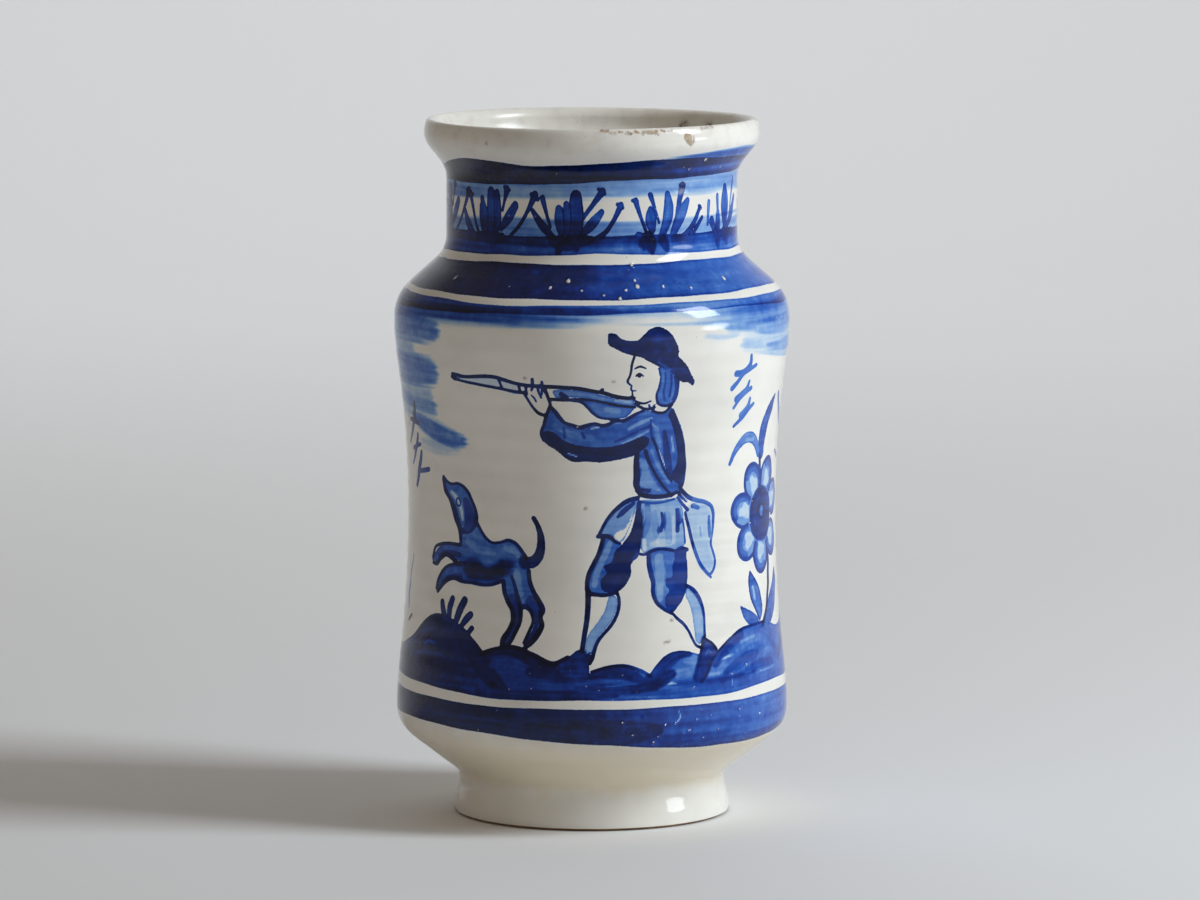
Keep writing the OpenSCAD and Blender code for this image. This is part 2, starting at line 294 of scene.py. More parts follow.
def paintBelt(coat, belt, seed):
    # a ring between two edges that wander a little, with streaks along the brush's way round
    u, z = coat["u"], coat["z"][:, None]
    angle = u / flatRadius
    (sway, swayTimes), (quiver, quiverTimes) = ringBrush["sway"], ringBrush["quiver"]
    wander = sway * np.sin(swayTimes * angle + seed) + quiver * np.sin(quiverTimes * angle + 2 * seed)
    low = aroundRim(u, belt["low"]) + wander
    high = aroundRim(u, belt["high"]) + ringBrush["upper"] * np.roll(wander, ringBrush["lag"])
    lean = np.hypot(1, np.gradient(high, u))
    inside = np.minimum(z - low, (high - z) / lean)
    hair = z / ringBrush["hair"] + seed + 0.5 * np.sin(2 * angle)
    streak = grain(hair, outAndBack(u) / ringBrush["mark"] + 3 * seed) - 0.5
    tone = aroundRim(u, belt["tone"]) * (1 + belt["streak"] * streak)
    if "soft" in belt:
        cover = smoothStep(-belt["soft"], belt["soft"], inside + 2 * belt["soft"] * streak)
        if "fade" in belt:
            cover = cover * smoothStep(-0.5, belt["fade"], z - low + 3 * streak)
        coat["wash"] = np.maximum(coat["wash"], tone * cover)
    else:
        coat["fillTone"] = np.where(inside > np.minimum(-1, coat["fill"]), tone, coat["fillTone"])
        coat["fill"] = np.maximum(coat["fill"], inside)


# Each figure's layers: a tone, 0 to 2, or for a lift and a slit the share of paint that it takes off, and
# the points of a stroke or a patch.
hound = {
    "wash": [
        (0.85, [(-46.4, 93), (-42.6, 93), (-39, 91.4), (-35.5, 92), (-31.5, 94), (-29, 94.4), (-27.8, 93),
                (-30, 90), (-31.4, 89), (-34, 88.4), (-38, 87.2), (-43, 87.4), (-47.4, 88.2), (-48, 90.6)]),
    ],
    "fill": [
        (0.66, [(-59.3, 120.8), (-57, 119.2), (-54.6, 118.7), (-51.8, 119), (-49.2, 118.3), (-46.8, 116.5),
                (-45, 113.6), (-43.4, 110.6), (-42.8, 107.4), (-41.4, 104.4), (-39, 101.6), (-36.6, 100.2),
                (-33, 100.4), (-29.6, 101.2), (-26.8, 100.2), (-24.6, 98), (-22.4, 95), (-21.8, 91),
                (-22, 88), (-20.8, 84.6), (-18.6, 81), (-17, 78.4), (-20.4, 78), (-24.4, 79), (-27, 79),
                (-29.4, 80.4), (-31, 84), (-31.6, 87), (-34, 86.6), (-38, 85.2), (-44, 85.6), (-49.6, 85.5),
                (-51, 88), (-50.6, 92), (-50.4, 98.4), (-51.2, 102), (-52.4, 105.4), (-53.6, 108.6),
                (-55.2, 111.8), (-58, 114.6), (-59.6, 117.4)]),
        (0.8, [(-49, 94.6, 6), (-54, 95.8, 4.6), (-58.6, 95.9, 3.6), (-62, 94.2, 3.6), (-64.8, 91.9, 3.2)]),
        (0.85, [(-48, 88.4, 5.4), (-53, 88.8, 4.6), (-57.4, 87.8, 3.8), (-60.4, 85.4, 3.2),
                (-62.2, 82.4, 2.4)]),
        (1.65, [(-23.4, 94, 3.8), (-20.8, 94.1, 3.9), (-18.9, 95.7, 3.6), (-17.9, 98, 3.2),
                (-17.6, 100.6, 2.8), (-17.9, 103.8, 2.2), (-18.9, 106.7, 1.7), (-20.3, 109, 1.6)]),
        (1.2, [(-27.6, 80.6, 4.4), (-26.4, 77.4, 2.6), (-26.2, 74, 2), (-27.8, 70.2, 1.6), (-30, 66.4, 1.4),
               (-31, 65.6, 1)]),
        (1.2, [(-20.6, 80.4, 4), (-18.9, 77, 2.4), (-18.9, 73.6, 1.6), (-20.2, 69.8, 1.6), (-22, 66.8, 1.4),
               (-23, 65.7, 1)]),
        (0.98, [(-45, 91.4), (-42, 92.6), (-38.4, 90.8), (-34.8, 92), (-32, 94), (-31.4, 90), (-33.4, 87.4),
                (-38, 86), (-44, 86.4), (-46.8, 88.4)]),
    ],
    "lift": [
        (0.75, [(-55, 115.8, 1.2), (-53, 114.4, 1.8), (-51.4, 112.4, 2), (-50.2, 110, 1.6),
                (-49.4, 106.8, 1)]),
        (0.35, [(-26.4, 90, 2.6), (-26, 86, 3), (-24.8, 83, 2)]),
        (0.3, [(-31, 98.4, 1.6), (-28, 97.8, 2.4), (-26, 96, 1.6)]),
        (0.2, [(-47, 99.6, 2.4), (-42, 97.4, 3), (-36, 96.6, 2.4)]),
        (0.3, [(-63.4, 93, 1), (-61, 94.6, 1)]),
        (0.3, [(-59.4, 87, 0.8), (-57, 88.2, 0.9)]),
    ],
    "line": [
        (0.8, [(-59.2, 120.4, 1.6), (-57, 119, 1.2), (-54.6, 118.5, 1), (-51.8, 118.9, 1.1),
               (-49.2, 118.2, 1.2), (-46.8, 116.4, 1.3), (-45, 113.6, 1.3), (-43.6, 110.6, 1.5),
               (-43.2, 107.4, 2), (-44.6, 104.6, 2), (-47, 103.2, 2.2), (-49.6, 103, 2)]),
        (0.8, [(-59.4, 119.6, 1.6), (-58.4, 116.2, 1.8), (-56, 113.6, 1.8), (-54.2, 110.6, 2.4),
               (-52.6, 107.2, 2.6), (-51, 104, 2.2), (-50.4, 100.6, 1.6), (-50.2, 98.4, 1.2)]),
        (0.8, [(-52.4, 113.6, 0.7), (-51.4, 114, 0.7), (-50.6, 112.8, 0.7), (-50.8, 111.4, 0.7),
               (-51.8, 111.4, 0.7), (-52.5, 112.6, 0.7), (-52.4, 113.6, 0.7)]),
        (0.35, [(-62.4, 93.6, 1.4), (-57, 95, 1.6), (-51, 94.6, 2)]),
        (0.3, [(-60, 84.6, 1.2), (-55, 87, 1.4), (-50, 87.6, 2)]),
        (0.45, [(-48, 113.4, 2.4), (-46.8, 110, 4), (-46.4, 106.6, 4), (-47.4, 104.4, 2.6)]),
        (0.7, [(-43, 106.6, 1.4), (-41.4, 104.2, 1.3), (-39.2, 101.6, 1.2), (-36.6, 100, 1),
               (-33, 100.2, 1), (-29.6, 101.1, 1.2), (-26.8, 100, 1.3), (-24.6, 97.6, 1.4),
               (-22.8, 95.2, 1.4)]),
        (0.7, [(-66, 92.4, 1.4), (-64.8, 95.8, 1.2), (-61, 97.4, 1.1), (-56, 98.1, 1.1), (-50.6, 98, 1.3)]),
        (0.7, [(-65.8, 90.6, 1.2), (-63.4, 90.5, 1.4), (-61, 92.4, 1.4), (-58, 94, 1.3), (-54.6, 93.1, 1.4),
               (-51, 91.6, 1.8), (-48, 92, 1.6)]),
        (0.7, [(-63, 82.2, 1.6), (-62, 85.4, 1.3), (-60, 88.2, 1.2), (-56.6, 90.4, 1.1), (-52, 91.4, 1.1)]),
        (0.7, [(-62.4, 81.2, 1.5), (-60.2, 83.2, 1.6), (-57.4, 85.2, 1.4), (-53.6, 86.4, 1.2),
               (-49.6, 85.8, 1.3), (-45, 85.7, 1.2), (-40, 85.3, 1.1), (-35.6, 85.8, 1.1),
               (-32, 87.2, 1.2)]),
        (0.8, [(-22, 91, 1.6), (-21.7, 88, 1.6), (-20.4, 84.6, 1.6), (-18.2, 81, 1.8), (-16.9, 78, 2),
               (-17.6, 75.8, 1.6), (-17.1, 73, 1.9), (-18.4, 70, 2), (-20.6, 67.2, 2), (-22.6, 65.4, 1.6)]),
        (0.7, [(-25, 79, 1.6), (-22.4, 78.8, 1.8), (-20.8, 77, 1.3), (-20.2, 74.4, 1.1), (-21.5, 70.6, 1.2),
               (-23.2, 66.8, 1.2)]),
        (0.8, [(-31.5, 87.2, 1.6), (-31.1, 84, 1.7), (-29.8, 80.6, 1.7), (-28, 77.6, 1.5),
               (-27.6, 74.2, 1.6), (-29, 70.6, 1.7), (-31.2, 66.8, 2), (-31.4, 65.2, 1.6)]),
        (0.7, [(-28.4, 89, 1.2), (-27.2, 86, 1.3), (-26, 82, 1.6), (-24.8, 78, 1.6), (-24.9, 74, 1.4),
               (-26.6, 70, 1.4), (-28.7, 66.4, 1.4), (-29.8, 65.4, 1.2)]),
    ],
}

hunterHead = {
    "fill": [
        (1.5, [(5.3, 170.2), (5.6, 172.2), (7.3, 172.2), (10, 170.2), (13.2, 169.6), (15.2, 169.9),
               (17, 171.6), (19.2, 173.5), (21.6, 174.1), (24, 173.4), (26.3, 171.5), (27.8, 169),
               (29, 166), (29, 163.8), (30.4, 162.5), (32.3, 160.4), (34, 157.4), (35.5, 154.6),
               (34.9, 153.7), (33.2, 154.8), (30.6, 155.2), (28.6, 156.8), (25.6, 159), (22.2, 160.7),
               (19.2, 162.3), (16.4, 163.9), (13.8, 164.6), (10.5, 165.7), (7.6, 167.2), (5.5, 168.6)]),
        (0.62, [(22.2, 160.2), (22.9, 157.5), (22.7, 154.2), (21.9, 151.4), (21.9, 149.2), (23.2, 147.6),
                (25.2, 147.2), (27.4, 147.8), (28.7, 149), (29.4, 152), (29.5, 155.2), (27.2, 157.8),
                (24.8, 159.5)]),
    ],
    "lift": [
        (0.6, [(21.8, 162.3, 0.5), (24, 161, 0.6), (26.3, 159.4, 0.4)]),
        (0.12, [(20, 169.4, 1.6), (23, 169.2, 2), (26, 166.4, 1.4)]),
    ],
    "line": [
        (0.6, [(22.3, 160, 0.7), (22.9, 157, 0.6), (22.6, 153.6, 0.7), (21.8, 150.6, 0.8), (22.6, 148, 0.9),
               (25, 147.2, 1), (27.6, 147.9, 0.9), (28.9, 150, 0.8), (29.4, 154, 0.9), (29.3, 156.4, 0.9)]),
        (0.35, [(24.6, 158.6, 0.7), (24.7, 155, 0.7), (24.3, 151.5, 0.8), (24.8, 149, 0.7)]),
        (0.4, [(26.6, 157.6, 0.8), (26.9, 154, 0.8), (26.4, 150.4, 1)]),
        (0.5, [(28.4, 156.8, 1.4), (28.9, 152.6, 1.3), (28, 149.2, 1.1)]),
        # brow, nose and chin of the face, then its eye, eyebrow and mouth
        (1.35, [(13.9, 164.4, 0.8), (13.1, 161.6, 0.8), (12.9, 159.4, 0.7), (12.4, 157.4, 0.7),
                (11.8, 155.8, 0.8), (12.5, 154.9, 0.7), (13.2, 154.4, 0.6), (13, 153.4, 0.6),
                (13.5, 152.2, 0.6), (13.6, 150.9, 0.7), (14.3, 149.4, 0.8), (16, 148.5, 0.8),
                (18, 148.3, 0.7), (20, 149, 0.5)]),
        (1.35, [(14.5, 157.7, 0.5), (15.6, 158.4, 0.7), (17, 157.7, 0.5)]),
        (1.4, [(15.4, 157.6, 0.8), (15.8, 157.5, 0.8)]),
        (1.2, [(14.2, 160.2, 0.5), (15.8, 160.9, 0.7), (17.8, 160.2, 0.5)]),
        (1.0, [(13.3, 152.9, 0.5), (14.7, 152.6, 0.5)]),
        (1.1, [(14.6, 148.2, 0.8), (16.6, 146.9, 0.9), (19.2, 146.2, 0.9), (21.4, 146.7, 0.8)]),
        (1.0, [(19.3, 147.6, 0.7), (19.9, 146.4, 0.7)]),
        (1.0, [(21.2, 147.5, 0.7), (20.6, 146.4, 0.6)]),
        (1.1, [(20.5, 145.6, 0.8), (22.8, 144.9, 0.9), (25, 145, 0.9), (26.2, 145.9, 0.9),
               (27.5, 147.4, 0.9)]),
    ],
}

hunterCoat = {
    "fill": [
        (0.74, [(15, 130.3), (14.4, 127.6), (14.6, 123.6), (14.8, 119.5), (16, 117.6), (19, 116.6),
                (24, 116.2), (28.5, 116.9), (31.5, 118.4), (33, 120.5), (33.9, 125), (33.6, 130),
                (32.8, 135), (31.2, 140), (29, 144), (27.6, 146.3), (25.4, 145.2), (22.5, 144.9),
                (20.3, 145.4), (17.5, 145.7), (15, 144.8), (14, 137)]),
        (0.76, [(20.2, 145.6), (17, 145.5), (13.5, 143.6), (10.5, 142.2), (8, 142.4), (5.6, 141.2),
                (3.5, 140.6), (1.2, 141.6), (-1, 141.2), (-3.8, 140.2), (-6, 141), (-9.3, 142.2),
                (-11, 143.6), (-12.8, 146.2), (-13.6, 147.2), (-14.6, 146.2), (-15.2, 143.8),
                (-16.2, 140.8), (-17, 137.8), (-16.6, 136), (-15, 134.2), (-12.6, 132.8), (-10.5, 131.2),
                (-8.6, 129.6), (-6, 128.5), (-2, 128.8), (3, 128.5), (7, 128.9), (11, 129.6), (14.5, 130.5),
                (18, 132.6), (20.4, 135.6), (21, 139)]),
    ],
    "lift": [
        (0.5, [(10.5, 134.6, 0.9), (14.5, 136.4, 1), (19.3, 138.7, 0.8)]),
        (0.5, [(12.6, 139.6, 1.2), (16.5, 141.6, 1.4), (20.3, 143, 1)]),
        (0.9, [(20.2, 141.8, 0.45), (21.4, 140.4, 0.45)]),
        (0.95, [(23.3, 132, 0.6), (24.8, 128.6, 0.7), (26, 125.6, 0.4)]),
        (0.35, [(20.8, 132, 1.3), (22.5, 128, 1.3), (24.6, 124.4, 1.3), (27.2, 120.8, 1.4)]),
        (0.42, [(16.8, 129.6), (17.2, 125), (17.2, 119.8), (20.6, 119.2), (24.6, 118), (22.6, 121),
                (20.2, 125), (18.6, 129)]),
        (0.3, [(22.2, 139.6, 1.8), (23.2, 136, 1.8), (23.8, 133.4, 1.2)]),
        (0.25, [(-12, 140.6, 2), (-6, 137.6, 2.6), (0, 136.6, 2.4)]),
    ],
    "line": [
        (0.95, [(-16.9, 138.2), (-14.8, 138.9), (-12.2, 138), (-10, 136.2), (-6.5, 134.6), (-2, 133.8),
                (3, 133.4), (8, 133.9), (12.5, 135.2), (16, 136.6), (18.6, 137), (19.8, 135.8), (19, 133.6),
                (16, 131.4), (12, 130), (7.5, 129), (3, 128.4), (-2, 128.7), (-6, 128.5), (-8.8, 129.8),
                (-10.6, 131.2), (-12.8, 132.9), (-15, 134.2), (-16.6, 136)]),
        (0.6, [(-13.6, 147.2, 1), (-12.2, 145.6, 1.4), (-10.6, 143.4, 1.5), (-9.2, 142, 1.2),
               (-6.2, 140.9, 1.3), (-4, 140.2, 1.5), (-1.6, 140.9, 1.4), (1.2, 141.6, 1), (3.4, 140.9, 1.3),
               (5.6, 141.3, 1.2), (8, 142.5, 1.3), (10.6, 142.5, 1.2), (13.2, 143.7, 1.2), (15.5, 145, 1),
               (17.6, 145.6, 0.8)]),
        (0.7, [(-13.9, 147.2, 1.2), (-15.1, 144.4, 1.1), (-16.2, 141, 1), (-17.1, 137.9, 1.2),
               (-16.3, 135.8, 1.2)]),
        (0.4, [(-3.2, 138.4, 0.9), (-2.4, 136.8, 1)]),
        (0.3, [(8, 135.4, 0.9), (12, 137, 0.9), (16, 139, 1), (19.8, 140.4, 1)]),
        (0.3, [(-9.4, 140, 1), (-9, 137, 1.2)]),
        (0.75, [(27.8, 146.2), (29.6, 143.2), (31.4, 139), (32.8, 134.4), (33.6, 129.4), (33.8, 125.4),
                (33.2, 121.6), (32.3, 119.4), (30.6, 120.4), (28.4, 122.2), (27.6, 123.4), (29.4, 125.6),
                (30.4, 129), (29.9, 133), (29, 137), (27.6, 141.4), (26.4, 144.4)]),
        (0.45, [(25.2, 138.4, 1.2), (25.7, 135.5, 2), (26.3, 131.5, 2.6), (27, 127.5, 2.6),
                (27.6, 124.4, 1.8)]),
        (0.8, [(20.8, 136.6, 1.1), (22.2, 133.6, 1), (23.4, 130.6, 0.9), (24.8, 126.9, 0.9),
               (26.4, 123.8, 0.9), (28.4, 121.2, 0.8)]),
        (0.75, [(18.6, 131.8, 1.6), (19.6, 129, 1.3), (21.2, 125.8, 1.1), (23.2, 122.6, 1.1),
                (25.6, 119.4, 1), (28, 117, 1)]),
        (0.8, [(15.6, 131, 1.8), (15.4, 127.6, 2), (15.7, 123.6, 2.4), (15.6, 120.2, 2.2),
               (16.4, 118.6, 1.8)]),
        (0.9, [(15.8, 118.7, 1.6), (17.5, 117.2, 1.7), (20.5, 116.4, 1.6), (24.5, 116.2, 1.5),
               (28.4, 116.5, 1.3)]),
        (0.7, [(17.6, 118.8, 1.1), (20.2, 118.4, 1.2)]),
        (0.4, [(20.2, 142.6, 0.8), (20.3, 139.4, 0.9), (20.6, 137.2, 0.9)]),
        (0.6, [(33.2, 122, 0.8), (32.5, 119.6, 0.8), (31.6, 118.2, 0.8)]),
    ],
    "slit": [(0.95, [(-7.9, 131.4, 0.7), (-5.1, 130.4, 0.7)]), (0.9, [(0, 139.9, 0.6), (2.4, 140.4, 0.6)]),
             (0.7, [(27.9, 136.4, 0.6), (28.8, 131.6, 0.7)]), (0.6, [(7.6, 141.6, 0.5), (10, 141.9, 0.5)])],
}

hunterGun = {
    "fill": [
        (0.12, [(-49, 156), (-41, 155.8), (-33, 156.2), (-30, 155.4), (-24, 154.2), (-24, 152.2),
                (-35, 153.6), (-48, 155)]),
        (0.5, [(-12.8, 152.6), (-10, 153.2), (-4, 152.9), (1, 152), (6, 150.6), (10, 149.6), (14, 149.4),
               (14.4, 147.6), (9, 148.2), (4, 149.2), (-2, 150.3), (-8, 150.6), (-12, 150.6)]),
        (0.62, [(-3.4, 149.4), (0, 149.2), (5, 148.2), (10, 147.3), (14.2, 146.6), (13.6, 145.6), (12, 144),
                (9, 143.2), (5.5, 143.3), (2.8, 143.8), (0.8, 145.3), (-1, 147.2)]),
    ],
    "lift": [(0.5, [(8, 149.4, 0.8), (13, 148.8, 1)]), (0.3, [(5, 146.4, 1.6), (9, 145.8, 1.8)])],
    "line": [
        (1.45, [(-50.6, 156.5, 1.5), (-48.8, 156.4, 1.3), (-45.5, 156, 1.2), (-41.5, 156.3, 1.2),
                (-36.5, 156.7, 1.3), (-33, 156.6, 1.3), (-29.5, 155.8, 1.3), (-26, 154.9, 1.2),
                (-22, 154.3, 1.2), (-17, 154.1, 1.3), (-10, 153.9, 1.3), (-4, 153.5, 1.3), (1, 152.6, 1.2),
                (4.5, 151.9, 1.3), (7.5, 150.9, 1.4), (10.5, 150.3, 1.3), (14.2, 150.2, 1)]),
        (1.35, [(-50.4, 155, 1), (-46, 154.4, 0.9), (-40.5, 153.8, 1), (-35, 153.2, 1), (-30, 152.6, 1),
                (-25.5, 151.9, 1.1), (-22.6, 151.7, 1.1)]),
        (1.4, [(-51, 155.6, 1.3), (-50, 156.2, 1.7), (-49.7, 155, 1.4)]),
        (1.3, [(-31.8, 156, 0.9), (-30.6, 153.2, 1)]),
        (1.2, [(-14, 149.8, 1), (-10.5, 149.7, 1.2), (-7, 149.7, 1.1), (-3.4, 149.9, 1), (0, 149.6, 0.9),
               (5, 148.6, 0.9), (9, 147.7, 0.9), (14.5, 147, 0.9)]),
        (0.8, [(-10, 151.6, 1.6), (-8.2, 150.6, 1.4)]),
        (0.7, [(-6.5, 149.4, 0.8), (-3.4, 148.9, 0.9), (-1.4, 147.2, 0.9), (0.4, 145.2, 0.9),
               (2.4, 143.8, 0.8), (5.5, 143.2, 0.8), (9, 142.9, 0.9)]),
        (1.3, [(3.2, 153, 0.9), (3.7, 153.3, 0.9)]),
        # the hand round the barrel
        (1.4, [(-22.6, 151.4, 1), (-21.4, 149.4, 0.9), (-19.6, 146.6, 1), (-17.8, 144.9, 1.1),
               (-15.4, 144.1, 1.1)]),
        (1.4, [(-15.6, 153.6, 1.2), (-14.6, 150.8, 1.1), (-13.9, 148.6, 1), (-13.6, 146.8, 1.1)]),
        (1.4, [(-24.6, 154.2, 0.9), (-23.8, 151.8, 0.9)]),
        (1.4, [(-22.2, 154.4, 0.9), (-21.7, 151.3, 0.9)]),
        (1.4, [(-19.6, 156.4, 1.2), (-19.6, 154.4, 1), (-20, 152.6, 0.8)]),
        (1.4, [(-16.4, 155.6, 1), (-16.3, 153.8, 1), (-16.6, 151.4, 0.8)]),
        (1.3, [(-18.2, 154.4, 0.8), (-17.7, 152.4, 0.8), (-16.8, 150.2, 0.8)]),
        (1.2, [(-20.2, 151, 0.6), (-19, 149.8, 0.7), (-18.6, 148.8, 0.6)]),
    ],
}

hunterLegs = {
    "fill": [
        (0.27, [(33.6, 85), (36, 83.4), (38.6, 80.6), (40.2, 77), (40.6, 72), (40.4, 67), (38.6, 65.4),
                (37.4, 66.2), (36.8, 70), (36.2, 75), (35.2, 79), (33.8, 81.8)]),
        (0.34, [(6.4, 83.4), (8.6, 82.6), (8.4, 78.4), (7.2, 75.4), (5, 72.4), (2.6, 69.6), (1, 66.6),
                (0.2, 63.8), (-2, 63.6), (-2.2, 66), (-1.4, 69.6), (0.6, 72.4), (3, 75.6), (4.8, 79),
                (5.6, 82)]),
        (0.32, [(16.4, 115.2), (19, 115.4), (24, 115), (28.5, 115.4), (30.8, 114.8), (32.8, 111.6),
                (33.2, 108), (33.9, 103), (34, 99.6), (32, 98.6), (30, 98.2), (27.5, 98.6), (24, 98.6),
                (21, 98), (18, 97.4), (17.2, 99.4), (17.2, 103), (17.6, 108)]),
        (0.6, [(19.4, 97.2), (22, 98), (26, 98.2), (30, 97.6), (33.8, 97.8), (34.4, 95), (34.6, 90),
               (34.4, 86.6), (33.4, 83), (32.2, 80.4), (30, 78.2), (28.2, 76.6), (26, 77.6), (23.6, 79.2),
               (21.6, 81.6), (20.8, 85), (20.6, 88.4), (19.6, 91.6), (19.2, 94.6)]),
        (0.4, [(15.8, 115.8), (12, 114.4), (8.6, 111.8), (5.4, 108.2), (3.4, 105), (2.6, 103.4),
               (5.4, 103.8), (7.6, 103.2), (9.4, 101.2), (10.4, 101.4), (12.4, 104.4), (14.2, 109),
               (15.6, 113)]),
        (0.68, [(4.4, 103.4), (8, 101.6), (10.6, 100.4), (12.6, 102.6), (14.8, 107.6), (16, 111.6),
                (17.2, 112), (17.4, 106), (17, 101), (16.6, 97), (15.2, 95.6), (13.6, 93.8), (13.7, 91),
                (12.6, 88), (10.4, 85.4), (7.4, 83.9), (4, 83.3), (0.6, 83.6), (-1.2, 85.4), (-1.6, 88.6),
                (-0.8, 91.6), (1, 94.4), (2.4, 98)]),
        (1.3, [(40.6, 67.6), (42.6, 66), (44.8, 64.6), (46, 62.6), (45.2, 61), (43.4, 59.4), (42.2, 57),
               (40.6, 54.6), (39, 52.8), (37, 53), (35.8, 53.8), (36.4, 56), (37.6, 59), (38.4, 62),
               (39.2, 65)]),
        (1.4, [(-10.5, 60.6), (-6.6, 63.2), (-4, 65), (-2.6, 64.6), (-2, 63.2), (-0.4, 63.4), (0.2, 61.8),
               (-0.8, 60), (-0.9, 57), (-5, 56), (-10, 57)]),
    ],
    "lift": [
        (0.6, [(18.4, 101.6, 1.4), (18.5, 98.8, 1.8)]),
        (0.35, [(21, 100, 1.6), (25, 100.6, 2.4), (28, 100.2, 2)]),
        (0.4, [(29.2, 109, 1.2), (29.4, 104, 1.4), (29.4, 100.4, 1.4)]),
        (0.35, [(23.6, 102, 1), (23.4, 99.6, 1.6), (25.6, 99.6, 1)]),
        (0.38, [(23.8, 95.6, 3), (24.2, 91, 3.6), (24, 86.4, 3), (24, 81.6, 2)]),
        (0.95, [(7.8, 103.4), (9.6, 105), (11, 105.4), (12.8, 107.6), (14.4, 111.2), (13.6, 107.4),
                (12.2, 104.6), (10.8, 102.4), (9.6, 101.4), (8.6, 102)]),
        (0.38, [(6.4, 101, 1.8), (5, 97.6, 2.2), (3.2, 94, 2.2), (1.6, 90, 2.2), (1, 86.6, 1.8)]),
        (0.4, [(41.6, 65.6, 0.6), (42.8, 65.6, 0.5)]),
        (0.4, [(40.8, 61.4, 0.7), (42.4, 63.2, 0.7), (43.2, 62.2, 0.5)]),
    ],
    "line": [
        (0.16, [(19.4, 113.6, 1.8), (20, 109, 2.6), (19, 105.6, 2.4), (18.2, 103, 1.6)]),
        (0.07, [(22.2, 111, 1.6), (22.4, 107, 2.6), (22.6, 103.4, 2.4)]),
        (0.07, [(26.8, 110, 2.6), (27.2, 105, 2.8), (27.6, 101, 2.4)]),
        (0.14, [(31.2, 111, 2), (31.6, 107.6, 2.2)]),
        (0.7, [(24.8, 110.6, 1.1), (25.3, 107.6, 1.3), (24.4, 104.8, 1.6)]),
        (0.7, [(30.4, 111.6, 1), (30.9, 108, 1.4), (30.8, 104.4, 1.6)]),
        (0.5, [(17.6, 114.6, 0.8), (21, 114.2, 1), (26, 114.4, 0.8), (29.6, 115.2, 0.8)]),
        (0.5, [(32.9, 108, 0.7), (33.5, 104, 0.7), (33.8, 100, 0.7)]),
        (0.75, [(17, 97, 1), (18.6, 96.8, 0.9), (20.4, 97.6, 1.2), (22.6, 98.4, 1.2), (25, 98.5, 1.1),
                (27.6, 98.1, 1.2), (30, 97.6, 1.1), (32.2, 98.2, 1.6), (34.6, 97.7, 1.3)]),
        (0.52, [(29.6, 97.4), (33.8, 97.9), (34.4, 94.6), (34.6, 90), (34.3, 86), (33.2, 82.2), (31, 79.2),
                (28.4, 76.8), (26.4, 78.4), (25.8, 81.6), (27.4, 84.4), (26.2, 86.2), (26.4, 88.4),
                (28.4, 88.6), (28.8, 92), (29.6, 95)]),
        (0.55, [(20, 97, 1.4), (20.2, 93, 1.8), (20.8, 90, 1.8), (21.6, 87, 1.6), (21.4, 84, 1.5),
                (22.6, 80.6, 1.4), (25.4, 78, 1.2), (28, 76.6, 1.2)]),
        (0.7, [(34.4, 85.4, 1.2), (36.6, 84, 1.6), (38.8, 81.4, 1.5), (40.4, 78, 1.3), (41, 74, 1),
               (41, 70, 1), (40.8, 67, 1.2)]),
        (0.2, [(40.2, 66.6, 1), (39, 62, 1.1), (37.4, 57.6, 1.3), (36, 54, 1.3)]),
        (0.2, [(41, 67, 1), (44.6, 64.4, 1.2), (46, 62.4, 1), (43.4, 59.4, 1.3), (41, 55, 1.3),
               (38.4, 52.8, 1.3)]),
        (0.8, [(28.2, 76.8, 0.8), (30.2, 74.6, 1.1), (32.6, 72.6, 1.1), (34.4, 70.2, 1), (35.8, 67.4, 1),
               (37.4, 65, 1), (39, 64.2, 1)]),
        (0.95, [(16, 116, 1.6), (12.6, 115.2, 1.6), (9.2, 113, 1.4), (6.2, 110, 1.2), (4, 106.6, 1.1),
                (2.6, 103.6, 1.3)]),
        (0.8, [(14.6, 114.2, 1.2), (12, 112.4, 1.8), (10, 110.6, 1.6), (9, 109.7, 0.9)]),
        (1.05, [(2.2, 103.2, 1.4), (4.6, 103.4, 1.4), (6.8, 102.8, 1.4), (8.2, 101.4, 1.1),
                (9.8, 100.8, 1)]),
        (0.8, [(16.6, 114.4, 1.6), (16.2, 111, 1.8), (15.6, 107.4, 2), (14, 103.6, 1.6),
               (11.6, 100.8, 1.2)]),
        (0.8, [(8.2, 98.4), (10.4, 100.2), (12.8, 103), (15, 108.6), (16.4, 112.2), (17.4, 111),
               (17.4, 104), (16.9, 98.6), (16.2, 96.4), (13.6, 93.4), (13.7, 91), (12.4, 87.8),
               (10.4, 85.4), (7.6, 84.2), (3.6, 85.2), (3.2, 88.6), (5.2, 91), (4.2, 93), (7, 94.6),
               (7.6, 96.4)]),
        (0.9, [(4.2, 103, 1.6), (3.4, 100, 1.6), (2.2, 96.6, 1.6), (0.6, 93.6, 1.6), (-0.8, 90.6, 1.7),
               (-1.5, 87, 1.6), (-1.2, 84.4, 1.6), (1.6, 83.6, 1.4), (4.6, 83.4, 1.3), (7.6, 84, 1.3)]),
        (1.2, [(-1.2, 84.8, 1.9), (-1.2, 80, 1.9), (-1.6, 75, 1.8), (-2.4, 70, 1.7), (-3, 66, 1.6),
               (-3.2, 64.6, 1.6)]),
        (1.15, [(8.6, 84.6, 1.1), (9.4, 82, 1.1), (9.2, 78.6, 1.2), (8, 75.4, 1.2), (6, 72.4, 1.2),
                (3.8, 70, 1.1), (2, 67.6, 1.2), (0.9, 64.6, 1.3), (0.1, 61.8, 1.3), (-0.6, 60.4, 1.1)]),
    ],
    "slit": [(0.4, [(14.2, 94.8, 0.8), (16, 97.2, 0.9)])],
}

